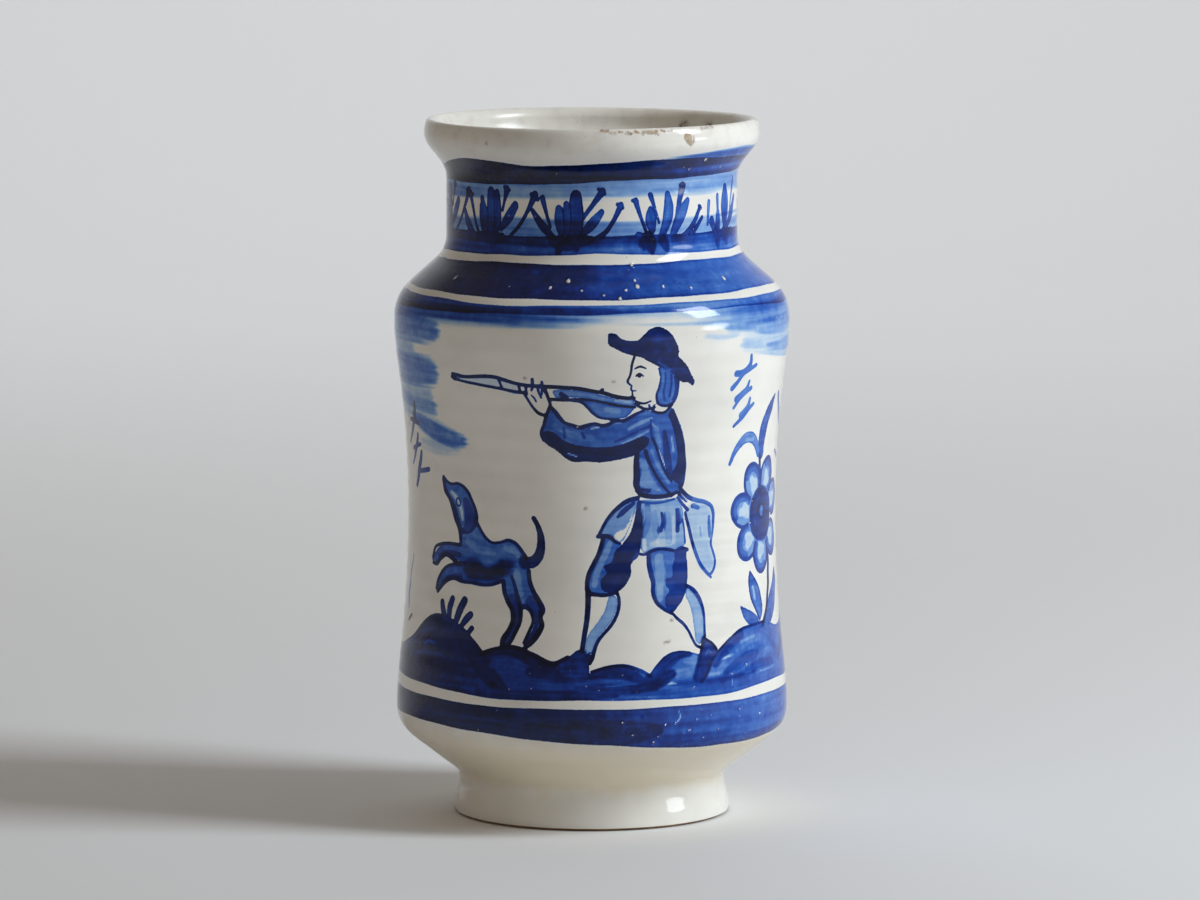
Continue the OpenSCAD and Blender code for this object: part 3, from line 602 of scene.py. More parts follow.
hunterBag = {
    "wash": [
        (0.2, [(33.6, 110.4), (36, 112.6), (40, 113.4), (43.4, 112.4), (45.2, 110.4), (45.4, 106),
               (45, 101), (44.6, 98), (45.8, 95), (46.6, 92.6), (45.8, 90.4), (43.6, 88.8), (41, 90.2),
               (39, 93.6), (37.6, 97.6), (36.4, 101.6), (35.2, 105.6)]),
    ],
    "line": [
        (0.6, [(33.9, 110.2, 1), (34.8, 107, 1.2), (35.8, 103.4, 1.3), (37, 99.4, 1.4), (38.6, 95.2, 1.4),
               (40.6, 91.6, 1.4), (42.8, 89.2, 1.3), (44.6, 87.6, 1)]),
        (0.58, [(31.4, 119.4, 1.2), (33, 117.4, 1.4), (35.4, 115.4, 1.6), (38.6, 114.2, 1.6),
                (42, 113.4, 1.5), (44.8, 111.8, 1.5), (45.9, 109.4, 1.4), (45.8, 106, 1.2),
                (45.4, 102.4, 1), (44.8, 98.6, 1), (45.6, 96.4, 1), (46.6, 93.4, 1), (46.2, 91, 1),
                (44.8, 89, 1.1), (43.6, 88.4, 1)]),
        (0.65, [(30.8, 115.6, 0.9), (32.6, 113.4, 1.1), (34.8, 111.2, 1.3)]),
        (0.6, [(28.6, 116.6, 1.2), (30.6, 117.4, 1.2), (32.2, 115.9, 0.9), (34.4, 113.9, 0.6)]),
        (0.4, [(44, 108.4, 1), (44, 105, 1.4), (44.4, 101.6, 1.3)]),
        (0.35, [(37, 112.4, 1.8), (39.2, 111.6, 1.4)]),
        (0.12, [(40, 105, 0.8), (40.4, 102, 0.8)]),
    ],
}

hillMarks = {
    "fill": [
        (1.8, [(-50, 69, 4), (-44, 63.6, 6), (-38.6, 58, 6.4), (-34, 53.4, 4.6), (-30, 50.6, 2.4)]),
        (1.0, [(-35, 58.4, 1.4), (-29, 59.8, 2.2), (-22, 58.6, 1.8)]),
        (1.05, [(-27, 53, 1), (-21, 54, 3.6), (-14, 53.4, 4), (-6, 53, 1.4)]),
        (1.75, [(-36, 62.6, 1.6), (-31, 64, 2), (-26, 63.7, 3), (-20, 61, 3.6), (-13.6, 57.6, 4),
                (-8, 59.4, 5.4), (-3.4, 61.4, 5)]),
        (1.6, [(-21, 57, 2), (-12, 56.4, 3.4), (-3, 56.4, 3.4)]),
        (1.5, [(-44, 49.8, 2), (-26, 49.2, 2.2), (-8, 49.4, 2.4), (8, 49.8, 1)]),
        (0.5, [(13, 58.6, 1.4), (16.6, 57.4, 1.8), (19, 56.2, 1.2)]),
        (1.45, [(-0.4, 56.4, 1.4), (4, 57.4, 3.2), (9, 57.6, 4), (13.4, 56.4, 3.4), (16.4, 54.6, 1.6)]),
        (1.2, [(-4, 52.4, 2), (6, 51.8, 3), (14, 51.6, 3), (21, 51.4, 2)]),
        (0.55, [(30, 56, 3), (36, 57, 4), (42, 56.4, 4), (49, 57, 3)]),
        (0.5, [(33, 60.6, 2), (36.6, 60.4, 3)]),
        (1.15, [(20, 55, 2.4), (23.6, 58.2, 4), (27, 61, 4), (31, 62.6, 2.2), (34.4, 62.6, 1.2)]),
        (1.4, [(14, 51.8, 2.4), (19, 53.2, 4.4), (23.6, 54.6, 4.2), (27.6, 56.2, 1.8)]),
        (0.85, [(17, 49.6, 0.6), (28, 49.8, 2), (40, 50, 3.2), (52, 50.3, 2.8), (66, 50.6, 2)]),
        (1.0, [(45, 58.6, 2.6), (49, 62.2, 3.4), (53.6, 65.2, 3.4), (58, 66.8, 2.2)]),
        (0.58, [(57, 61.4, 3), (63, 63.8, 4), (70, 64, 3.4)]),
        (0.95, [(49, 54.6, 1.2), (55, 57, 2.8), (61, 58.8, 3), (67, 59.4, 2)]),
        (0.62, [(68, 57.6, 2.4), (74, 60.6, 3), (79, 60, 2)]),
        (1.0, [(28, 52.7, 0.9), (40, 52.6, 1), (52, 52.8, 1), (64, 53.8, 0.9)]),
        (0.78, [(69, 68, 1), (75, 66, 2.2), (81, 61, 2.6), (86, 56, 2), (90, 52.8, 0.8)]),
        (0.85, [(60, 54.4, 1.6), (68, 56, 2), (78, 55.4, 1.8)]),
        (1.4, [(-57.4, 73, 2.2), (-58.6, 75.4, 2.6), (-59.2, 77.8, 2.2)]),
        (1.4, [(-55.2, 72.6, 2), (-55, 76, 2.6), (-53.8, 79.4, 2.4)]),
        (1.4, [(-51.8, 71.4, 2.4), (-50, 75.6, 3), (-47.8, 79.4, 2.8)]),
        (1.4, [(-49, 70.4, 1.8), (-46.8, 73, 2.6), (-44.8, 74.8, 2.4)]),
        (1.4, [(-45.6, 68.4, 1.8), (-44, 70.2, 2)]),
        (1.6, [(-26, 39, 4), (-12, 38, 7), (6, 36.8, 8), (16, 37, 6), (22, 37.4, 3)]),
        (1.9, [(-20, 38, 4), (-10, 37.4, 6), (-2, 36.8, 6), (4, 36.6, 3)]),
        (1.1, [(24, 32, 1.6), (44, 31.6, 2.4), (64, 31.4, 2.6), (86, 32.6, 2.2)]),
    ],
    "lift": [
        (0.75, [(25.4, 52.5, 0.2), (27.2, 53, 0.9), (29.4, 52.6, 0.2)]),
        (0.75, [(47.4, 59.2, 0.2), (50, 60, 1), (53.4, 60.4, 0.2)]),
        (0.45, [(2, 52.4, 0.2), (9, 53, 0.7), (16, 53.4, 0.2)]),
        (0.5, [(66, 53, 0.2), (72, 53.3, 0.7), (80, 53.6, 0.2)]),
        (0.5, [(-69, 62.6, 0.8), (-65.4, 63.8, 1.4), (-62.4, 63.4, 0.8)]),
        (0.24, [(-84, 60, 1), (-74, 65.4, 1.4), (-64, 68, 1.2)]),
        (0.22, [(-80, 56, 1), (-70, 59.6, 1.6), (-58, 60, 1.4)]),
        (0.3, [(40, 55, 1.2), (46, 54.8, 1.2)]),
        (0.35, [(58, 64.4, 1), (66, 65.4, 1)]),
        (0.8, [(29.4, 43.6, 0.4), (30, 41.4, 0.5), (29, 40, 0.6)]),
        (0.7, [(51.8, 50, 0.4), (52, 52.2, 0.5)]),
    ],
    "line": [
        (0.5, [(-8, 62.4, 1.4), (-12.4, 60.2, 1.6), (-20, 62.9, 1.6), (-27, 65.1, 1.4), (-34, 64, 1.4),
               (-39.6, 62, 1.6)]),
        (0.4, [(0, 57.6, 1), (6, 59.2, 1.2), (11, 59.5, 1.2), (17, 57.4, 1.2), (20, 55.6, 1.2)]),
        (0.35, [(46.6, 62.4, 0.9), (52, 65.7, 1), (57, 68.1, 1.1), (66, 69.2, 1), (73, 69.4, 1)]),
        (0.4, [(-83.4, 91.4, 1), (-86.2, 84, 1.6), (-87.4, 76, 2.6), (-87, 73, 1.4)]),
        (0.45, [(-82, 70.7, 1.2), (-85.3, 68.7, 1.2)]),
    ],
}

# Strokes on a mound whose top is at 0, for the mounds at the back: each place is a shift and 1, or -1 for
# a mirrored one.
moundMarks = {
    "fill": [
        (1.1, [(-24, 56, 1), (-15, 61.6, 3.4), (-7, 65.6, 3.4), (1, 67.4, 1.8)]),
        (0.8, [(-8, 60, 2.6), (0, 62.4, 4), (8, 61.6, 3)]),
        (1.3, [(-4, 58.4, 1.2), (3, 59.4, 2), (9, 57.6, 1.4)]),
        (1.35, [(4, 66.4, 1.8), (11, 63.6, 3.2), (17, 59, 3.4), (22, 54.6, 2)]),
        (0.8, [(-12, 53.4, 1.2), (-3, 54.8, 2.2), (9, 53.8, 1.4)]),
        (1.4, [(-10, 50.6, 0.8), (8, 50.6, 2.4), (30, 50.2, 1)]),
        (0.85, [(22, 58, 1.2), (30, 55.8, 2.6), (40, 56.6, 1.2)]),
        (1.4, [(26, 53, 1), (34, 52.6, 2), (44, 53.4, 1)]),
    ],
    "lift": [(0.7, [(-7, 57.8, 0.7), (-2, 58.6, 1)]), (0.4, [(13, 52.4, 0.6), (20, 52.6, 0.7)])],
}
moundPlaces = [(109, 1), (164, -1), (-134, 1)]

clouds = {
    "wash": [
        (0.24, [(-122, 160, 16), (-104, 160, 30), (-90, 160, 28), (-82, 160, 22)]),
        (0.22, [(-106, 146, 8), (-88, 146, 13), (-74, 146, 11), (-67, 147, 8)]),
        (0.52, [(-112, 170, 6), (-96, 170.4, 9), (-80, 171, 10), (-66, 171, 9), (-60, 170.4, 7)]),
        (0.5, [(-118, 158, 5), (-100, 157, 11), (-84, 156.6, 12), (-70, 156.6, 11), (-63, 156.8, 9)]),
        (0.42, [(-104, 146.6, 3), (-90, 146, 5), (-78, 144.8, 5), (-68, 144.4, 5), (-63.4, 144, 4)]),
        (0.58, [(-79, 139, 3), (-70, 137.2, 6), (-60, 134.9, 7.4), (-53, 133.8, 6), (-49, 133.8, 3.4)]),
        (0.18, [(-72, 131, 2), (-60, 130, 3), (-51, 130, 1.8)]),
        (0.32, [(49, 173, 4), (58, 172.4, 5), (68, 170.6, 6), (82, 170, 7), (98, 171, 6)]),
        (0.2, [(57, 166, 4), (68, 165, 5), (80, 163.6, 6), (95, 162.6, 7), (110, 164, 4)]),
        (0.36, [(71, 164.6, 2.6), (80, 164.2, 4), (92, 164, 5), (104, 165, 3)]),
        (0.14, [(40, 170.6, 2), (46, 170, 2.6), (52, 170.4, 2)]),
        (0.45, [(122, 168, 4), (136, 166, 8), (152, 166, 8), (166, 168, 4)]),
        (0.4, [(136, 154, 3), (150, 153, 6), (164, 153, 6), (178, 155, 3)]),
        (0.45, [(186, 166, 4), (200, 164.6, 8), (218, 165, 8), (236, 167, 4)]),
        (0.35, [(206, 151, 3), (220, 150, 6), (238, 151, 3)]),
    ],
}

rightBirds = {
    "line": [
        (0.55, [(60.4, 162.2, 1), (60.6, 159.6, 1.4), (58.4, 157.2, 1.8), (56, 156.4, 1.8),
                (53.4, 156.4, 1.8)]),
        (0.55, [(63.9, 158.6, 1.1), (60.5, 157.4, 1.2), (57, 156, 1.2), (54.6, 153.6, 1.3),
                (52, 151.4, 1.5)]),
        (0.55, [(60.8, 153.2, 0.9), (60, 151.2, 1.2), (57.4, 149.4, 1.4), (54.6, 147.6, 1.8)]),
        (0.55, [(62.2, 150.8, 1.3), (59.4, 149.6, 1.3), (56.6, 147.8, 1.2), (53.6, 144.6, 0.9)]),
        (0.55, [(62.2, 147.2, 1), (61.6, 144.8, 1.4), (59.4, 142.6, 2), (57.6, 141.8, 1.6)]),
        (0.55, [(64.8, 145.2, 1), (61.6, 143.4, 1.3), (58.6, 141, 1.3), (54.4, 138.3, 0.9)]),
    ],
}

leftBirds = {
    "line": [
        (1.0, [(-77, 144, 1.4), (-77.9, 140.6, 1.6), (-80, 136.6, 1.5), (-82.8, 133, 1.2),
               (-85.4, 130, 0.9)]),
        (1.0, [(-83, 138.2, 1.1), (-79, 138, 1.4), (-75, 137.4, 1)]),
        (1.0, [(-76.4, 133.6, 1.1), (-77.6, 130.4, 1.5), (-80, 126.8, 1.3), (-83.1, 122.9, 0.9)]),
        (1.0, [(-81.8, 128.2, 1), (-78, 129.4, 1.2), (-74.4, 130.3, 1)]),
        (1.0, [(-74, 127.6, 1.3), (-75.6, 124, 1.8), (-77.4, 120, 1.8), (-79.6, 115.8, 1.5)]),
        (1.0, [(-75.6, 121, 1.2), (-72, 121.6, 1.3), (-68.6, 122.2, 1.3)]),
    ],
}
flocks = [(rightBirds, 0), (leftBirds, 0), (rightBirds, 86), (leftBirds, 270)]

daisyPlant = {
    "fill": [
        (1.3, [(66.3, 106.2), (67.6, 101.2), (71.4, 98.2), (75.6, 97.6), (80.2, 99), (83.4, 103.2),
               (83.6, 108), (81.2, 112.6), (77, 115.2), (71.8, 115), (67.9, 111.8)]),
        (0.66, [(71.2, 70.2), (68.2, 74), (65, 79), (64.2, 84), (65.4, 87.6), (68.6, 84.8), (72, 80),
                (73.4, 75.4), (72.4, 71.4)]),
        (0.75, [(70.4, 68.6), (66, 68.8), (62.2, 70.4), (59.8, 73.2), (58.8, 76.4), (61.4, 75.4), (65, 74),
                (69, 71.6)]),
        (0.75, [(74.4, 68.8), (76.8, 73), (80.4, 77.6), (85, 82), (89.6, 86.4), (90.6, 82), (88, 76),
                (83.6, 70.6), (79, 68.2)]),
        (0.85, [(72, 125), (70.6, 130), (71, 135.4), (73.4, 140), (77.4, 144), (83, 147), (81.2, 142.4),
                (78.4, 138), (76.4, 134), (75.4, 129.6), (74.4, 126)]),
        (0.52, [(70.6, 127, 1.8), (68.8, 131, 3), (65.4, 133.5, 3.8), (61.6, 133.6, 3.6), (58, 131.5, 2.8),
                (55.4, 128.8, 2), (53.4, 125.4, 1.4)]),
        (0.7, [(87.3, 146.7, 2), (91.3, 140.6, 3), (95, 136.6, 2.4), (100, 134, 1.2)]),
    ],
    "lift": [(0.6, [(74.8, 106.8, 3.2), (75.2, 108, 3.2)]), (0.4, [(71.8, 111.6, 0.6), (73.6, 112.2, 0.8)]),
             (0.35, [(69.4, 104.6, 0.7), (70.4, 103.4, 0.7)]), (0.6, [(67, 82, 1.5), (68.2, 78, 1.4)]),
             (0.2, [(73.2, 136, 1), (76, 139.6, 1)]), (0.4, [(66.6, 132.8, 1.4), (62.6, 132.8, 1.5)])],
    "line": [
        (0.6, [(73, 107.4, 0.8), (74, 105.4, 0.8), (76.4, 105.6, 0.9), (77, 108.4, 0.9), (75, 109.8, 0.8),
               (73, 107.8, 0.8)]),
        (0.62, [(80.8, 92, 2.2), (80.6, 86, 2.2), (78.8, 78, 1.9), (75.6, 71.6, 1.8), (73, 68.6, 1.6)]),
        (0.5, [(73.4, 116, 1.6), (73, 122, 1.7), (72, 127, 1.5)]),
        (0.7, [(89.3, 126.7, 1.4), (94.7, 124, 1.3)]),
        (0.4, [(65.4, 87.4, 0.8), (64.6, 83.6, 0.8), (65.4, 79, 0.8), (68.4, 74, 0.9), (71, 70.6, 0.9)]),
        (0.3, [(65.8, 87.2, 0.7), (68.8, 84.4, 0.8), (72, 79.6, 0.8), (73.2, 75, 0.8)]),
    ],
}
daisyPlaces = [(0, 1), (-52, -1), (86, 1)]
daisyPetals = {
    "middle": (74.8, 106.4), "angles": (20, 69, 120, 170, 220, 267, 318),
    "ring": 13.3, "long": 6.6, "wide": 5.6,
    "tint": 0.4, "heart": 0.58, "heartShare": 0.5, "heartWave": 0.12, "heartIn": 1.1, "corners": 10,
    "shade": (0.24, 2.4), "shadeArc": (-2.2, 0.7), "shadeShare": 0.74,
    "outline": (0.52, 1.3), "outlineArc": (-2.15, 2.15), "outlineShare": 1, "samples": 9,
}


def daisyMotif():
    # each petal is an oval set round the middle: a tint, a pale heart, a shaded outer side and an outline
    d = daisyPetals
    petals = {"fill": [], "lift": [], "line": []}
    turns = np.linspace(0, 2 * np.pi, d["corners"], endpoint=False)
    for angle in d["angles"]:
        out = np.array([np.cos(radians(angle)), np.sin(radians(angle))])
        side = np.array([-out[1], out[0]])

        def around(turn, share):
            ring = d["middle"] + out * (d["ring"] + share * d["long"] * np.cos(turn))[:, None]
            return ring + side * (share * d["wide"] * np.sin(turn))[:, None]

        heart = around(turns, d["heartShare"] + d["heartWave"] * np.sin(3 * turns + angle))
        petals["fill"].append((d["tint"], [tuple(p) for p in around(turns, 1)]))
        petals["lift"].append((d["heart"], [tuple(p) for p in heart - d["heartIn"] * out]))
        for kind in ("shade", "outline"):
            tone, width = d[kind]
            arc = around(np.linspace(*d[kind + "Arc"], d["samples"]), d[kind + "Share"])
            petals["line"].append((tone, [(*p, width) for p in arc]))
    return petals


daisyFlower = daisyMotif()

# Tufts of brush leaves round the neck: each leaf runs from its root to its tip.
neckTufts = {
    "left": {
        "fill": [
            (0.99, [(-48.2, 203.6, 3), (-48.2, 211, 4.6), (-48.8, 217.4, 3.2)]),
            (0.99, [(-45.8, 204, 2.4), (-45, 212, 3.6), (-45.2, 217.2, 2.4)]),
            (0.99, [(-50.4, 202.6, 2), (-52.2, 209.4, 2.8), (-54.4, 215, 2)]),
            (0.95, [(-53, 204.6, 3), (-54, 209, 3.4), (-54.8, 212.6, 2)]),
            (0.95, [(-42.6, 205.6, 1.8), (-38.6, 209.4, 3.2), (-35.2, 213.3, 2.6)]),
            (1.1, [(-42, 211.6, 1), (-40.8, 215, 1.2), (-39.6, 218.6, 2.4)]),
            (1.1, [(-37.6, 203.2, 1), (-33.8, 206, 1.1), (-28.6, 212.2, 1.4), (-25.4, 217.2, 2.4)]),
            (1.1, [(-55.8, 202.4, 1.2), (-58.6, 206, 1.2), (-60.4, 210.6, 1.3), (-62.9, 216.4, 2)]),
            (0.95, [(-60, 202.6, 1.8), (-64.6, 206, 2.8), (-67.6, 210.4, 1.8)]),
            (1.3, [(-57, 202.6, 2), (-50, 201.8, 3), (-42, 202.6, 2)]),
            (1.25, [(-49, 202, 3), (-47.6, 199.6, 1.6)]),
            (1.1, [(-41, 219.4, 1), (-38.2, 218.6, 1)]),
            (1.1, [(-27.2, 217.4, 1.2), (-24, 215.8, 1.2)]),
            (1.1, [(-64, 216.8, 1), (-61, 216.2, 1)]),
        ],
        "line": [
            (0.5, [(-51.2, 203.4, 0.5), (-50.6, 208, 0.6), (-50.9, 214.4, 0.5)]),
            (0.4, [(-46.9, 204, 0.5), (-46.7, 211, 0.5), (-47, 216.4, 0.5)]),
            (0.4, [(-43.4, 204.4, 0.5), (-43, 210, 0.5), (-43.6, 216.6, 0.5)]),
        ],
    },
    "middle": {
        "fill": [
            (1.15, [(-7.8, 202.2, 2.4), (-7.2, 209, 5.6), (-6.8, 216.6, 4)]),
            (0.91, [(-10, 204.4, 2), (-10.8, 209.6, 2.8), (-11.1, 214.2, 2)]),
            (0.91, [(-13, 204.4, 2.4), (-14, 209, 3.6), (-14.4, 212.6, 2.4)]),
            (1.1, [(-16.4, 202.6, 1.6), (-22, 207, 2.5), (-26.6, 211.9, 1.4)]),
            (1.01, [(-18.2, 206.6, 1), (-19.6, 210, 1.1), (-21.8, 216.2, 1.9)]),
            (1.01, [(-7, 205, 1), (-3, 210.4, 1.3), (0.6, 214.2, 1.5), (4.8, 218.6, 2.2)]),
            (0.91, [(-4.4, 204, 1.6), (0.4, 207.8, 3), (4.4, 211.6, 1.8)]),
            (1.01, [(1.4, 202.4, 1.4), (6.4, 205, 1.4), (9.6, 208.7, 1.4), (12.9, 213.8, 2)]),
            (1.6, [(-17.4, 202.2, 2.4), (-12, 201.2, 3.4), (-6, 201.8, 3), (0, 202.6, 1.6)]),
            (1.6, [(-14, 200.6, 2.6), (-14.8, 197.6, 1)]),
            (1.5, [(-9, 200.6, 2), (-6.6, 199.2, 1.2)]),
            (1.05, [(3, 219.4, 1), (5.8, 217.8, 1)]),
            (1.05, [(11.2, 214.2, 1), (13.8, 213, 1)]),
            (1.05, [(-22.6, 216.4, 0.9), (-21, 215.8, 0.9)]),
        ],
        "line": [
            (0.5, [(-9.8, 203.4, 0.5), (-9, 208, 0.6), (-9.4, 214.6, 0.5)]),
            (0.5, [(-12.4, 203.8, 0.5), (-12.1, 208, 0.6), (-12.5, 212.6, 0.5)]),
            (0.4, [(-4.6, 203.4, 0.5), (-3.8, 208, 0.5), (-4.4, 215.4, 0.5)]),
        ],
    },
    "right": {
        "fill": [
            (0.87, [(24.4, 204.6, 1), (22, 209.4, 1.2), (19.5, 215.2, 1.9)]),
            (0.8, [(27.4, 205.4, 2.4), (26.6, 208.8, 4), (26.4, 212, 2)]),
            (0.87, [(30.6, 207.6, 0.9), (28.8, 211.8, 1), (26.5, 216.9, 1.8)]),
            (0.68, [(31, 202.4, 1.6), (33.6, 206, 3), (35.4, 211.4, 4), (34.9, 216.9, 2.2)]),
            (0.87, [(37.4, 205, 1.1), (39.4, 209, 1.3), (41.2, 215, 2), (42.8, 219.4, 2.6)]),
            (0.68, [(36.8, 202.4, 1.8), (39.4, 206, 3), (42.6, 210.6, 3.8), (45.6, 214.4, 2)]),
            (0.83, [(39.6, 201.6, 1.4), (45.2, 203.6, 1.6), (49.8, 207.2, 1.6), (53.4, 212, 1.4)]),
            (0.78, [(46.8, 202, 1.3), (50.6, 204.8, 1.5), (54.8, 208.4, 1.2)]),
            (0.76, [(20.6, 203.6, 1.8), (24, 202.2, 2.8)]),
            (1.5, [(25, 203, 3), (26.6, 200.4, 3.2), (27.2, 198, 1)]),
            (1.3, [(22.6, 201, 2.2), (23.6, 199.6, 1.2)]),
            (1.3, [(32.4, 202, 2.4), (34, 199.8, 2), (34.6, 198.6, 1)]),
            (1.0, [(38, 202.2, 1.6), (42, 201.8, 1.2)]),
            (0.9, [(18, 215.4, 1), (20.4, 215, 1)]),
            (0.9, [(25.8, 217.2, 1), (27.2, 216.6, 1)]),
            (0.9, [(41.4, 219.9, 1), (44, 219.9, 1)]),
            (0.85, [(52.6, 212.4, 0.9), (54.2, 211.6, 0.9)]),
        ],
    },
    "farRight": {
        "fill": [
            (0.72, [(73.2, 205.4, 2.6), (73.6, 212, 5.8), (73.7, 217.2, 3)]),
            (0.68, [(67.4, 203, 2), (66.8, 206.6, 3), (66.9, 209.8, 1.8)]),
            (0.46, [(67, 208, 1.2), (66.4, 215, 1.8)]),
            (0.46, [(58.7, 206, 1.2), (59.6, 213.3, 1.7)]),
            (0.68, [(64.4, 203, 1.8), (61.8, 206.8, 2.8)]),
            (0.68, [(75.8, 204.4, 1.6), (81.4, 208.7, 3), (85.6, 213.8, 2)]),
            (0.46, [(79, 209, 1), (80.6, 213.3, 1.3), (84.2, 220, 1.8)]),
            (0.9, [(66.4, 203.4, 2.4), (66.6, 200, 2.6), (66.8, 198, 1)]),
            (0.85, [(72, 202.4, 3), (75.6, 200, 2.4)]),
            (0.9, [(64, 202.4, 1.4), (72, 202.6, 1.8), (82, 202.8, 1.4)]),
        ],
    },
}
tuftRepeats = [("left", -39), ("middle", 122), ("right", 124), ("left", 240), ("middle", 240),
               ("right", -165)]
boldBrush = 1.3  # widens the strokes of the birds and tufts
# Where the coat is stained, where it is chipped off the clay on the crest of the lip, and where it has
# bubbled: pinholes are given by place and size. Their white spots are partly bubbles and partly painted
# glints; the first three, on the lip band, are painted glints.
bubblesAndGlints = [(51, 228.4, 0.8), (44.4, 225.2, 0.4), (65, 225, 0.5), (-15.4, 186.8, 0.7), (-9, 189, 0.9),
            (-3.6, 186, 0.5), (16.9, 193.7, 0.7), (16.6, 189, 0.6), (17, 187.1, 0.9), (12.4, 186, 0.5),
            (4.3, 184.5, 0.5), (9.8, 183.6, 0.6), (27, 187, 0.5), (38.1, 186.1, 0.5), (57.3, 188, 0.8),
            (-60, 188, 0.5), (110, 187, 0.7), (-130, 189, 0.7), (10, 40.4, 0.3), (13.4, 36, 0.3),
            (17, 42, 0.3), (20.6, 33.4, 0.4), (22, 35.2, 0.4), (24.4, 39, 0.3), (28, 39.2, 0.4),
            (30.6, 35.8, 0.3), (33, 36.4, 0.4), (36, 40, 0.3), (39, 33.6, 0.3), (45, 36, 0.3),
            (55, 41.6, 0.3), (66, 39, 0.4), (35, 50.8, 0.3), (52, 54, 0.3), (60, 56.4, 0.3)]
wear = {
    "stain": [
        [(-2.4, 112.7, 0.8), (-2, 112.7, 0.8)],
        [(6.8, 155.8, 0.6), (7.2, 155.8, 0.6)],
        [(-22.3, 156.8, 0.7), (-21.8, 156.8, 0.7)],
        [(25, 66.6, 0.7), (26.8, 67.1, 0.8)],
        [(27.8, 74.2, 0.8), (28.2, 74.2, 0.8)],
        [(-43.2, 234.6, 0.8), (-42.8, 234.9, 0.8)],
        [(41.2, 236.8, 0.5), (41.3, 235.4, 0.9), (40.3, 233.9, 0.7)],
        [(38, 235.2, 0.5), (38.8, 234.6, 0.6)],
        [(7, 238.8, 0.5), (9, 238.6, 0.6)],
        [(13, 238.6, 0.6), (15, 238.3, 0.5)],
        [(19, 238.4, 0.7), (20, 238.2, 0.5)],
        [(25, 238, 0.5), (26, 237.9, 0.6)],
        [(30, 238.9, 0.6), (32, 239.2, 0.4)],
        [(46, 239.3, 0.7), (52, 239.5, 0.9)],
    ],
    "bare": [[(3.8, 239.6, 0.7), (6.4, 239.5, 0.8)], [(10.4, 239.2, 0.6), (12, 239, 0.6)],
             [(14.2, 239, 0.7), (15.6, 238.6, 0.7)], [(17, 239.2, 0.8), (18.4, 238.6, 0.8)],
             [(20, 239.1, 0.9), (23, 238.7, 1.4), (26, 239, 1.1)], [(27.6, 239.3, 0.6), (29.4, 239, 0.7)],
             [(38.2, 236.6, 2.4), (39.4, 236.2, 2.8), (39.8, 234.9, 2)],
             [(-120, 239.8, 0.8), (-112, 239.6, 1)], [(96, 239.7, 0.8), (101, 239.6, 0.9)]],
}
bubbleAndGlintSpread = 1.5
wear["bubble"] = [[(u, z, bubbleAndGlintSpread * size), (u + 0.2, z, bubbleAndGlintSpread * size)]
                  for u, z, size in bubblesAndGlints]
wearEdge = (-0.5, 0.4)
layerNames = ("wash", "fill", "fillTone", "line", "lineTone", "stain", "bare", "bubble")
farOutside = -9.0


def plainCoat(rows, count):
    # bare glaze: fill and line hold the distance inside a brush shape, so these start far outside
    start = {"fill": farOutside, "line": farOutside}
    return {key: np.full((rows, count), start.get(key, 0.0)) for key in layerNames}


def paintJar(u, z):
    # the whole painting at every crossing of the columns u and the rows z
    coat = {"u": u, "z": z, **plainCoat(len(z), len(u))}
    for number, belt in enumerate(belts.values()):
        paintBelt(coat, belt, 1.7 * number)
    for motif in (clouds, hillMarks, hound, hunterLegs, hunterBag, hunterCoat, hunterGun, hunterHead):
        paintMotif(coat, motif)
    for shift, mirror in moundPlaces:
        paintMotif(coat, moundMarks, shift, mirror)
    for shift, mirror in daisyPlaces:
        paintMotif(coat, daisyFlower, shift, mirror)
        paintMotif(coat, daisyPlant, shift, mirror)
    for flock, shift in flocks:
        paintMotif(coat, flock, shift, thick=boldBrush)
    for name, shift in [(name, 0) for name in neckTufts] + tuftRepeats:
        paintMotif(coat, neckTufts[name], shift, thick=boldBrush)
    for key in wear:
        for points in wear[key]:
            for here, _, inside, _ in brushFields(coat, points):
                coat[key][here] = np.maximum(coat[key][here], smoothStep(*wearEdge, inside))
    return coat


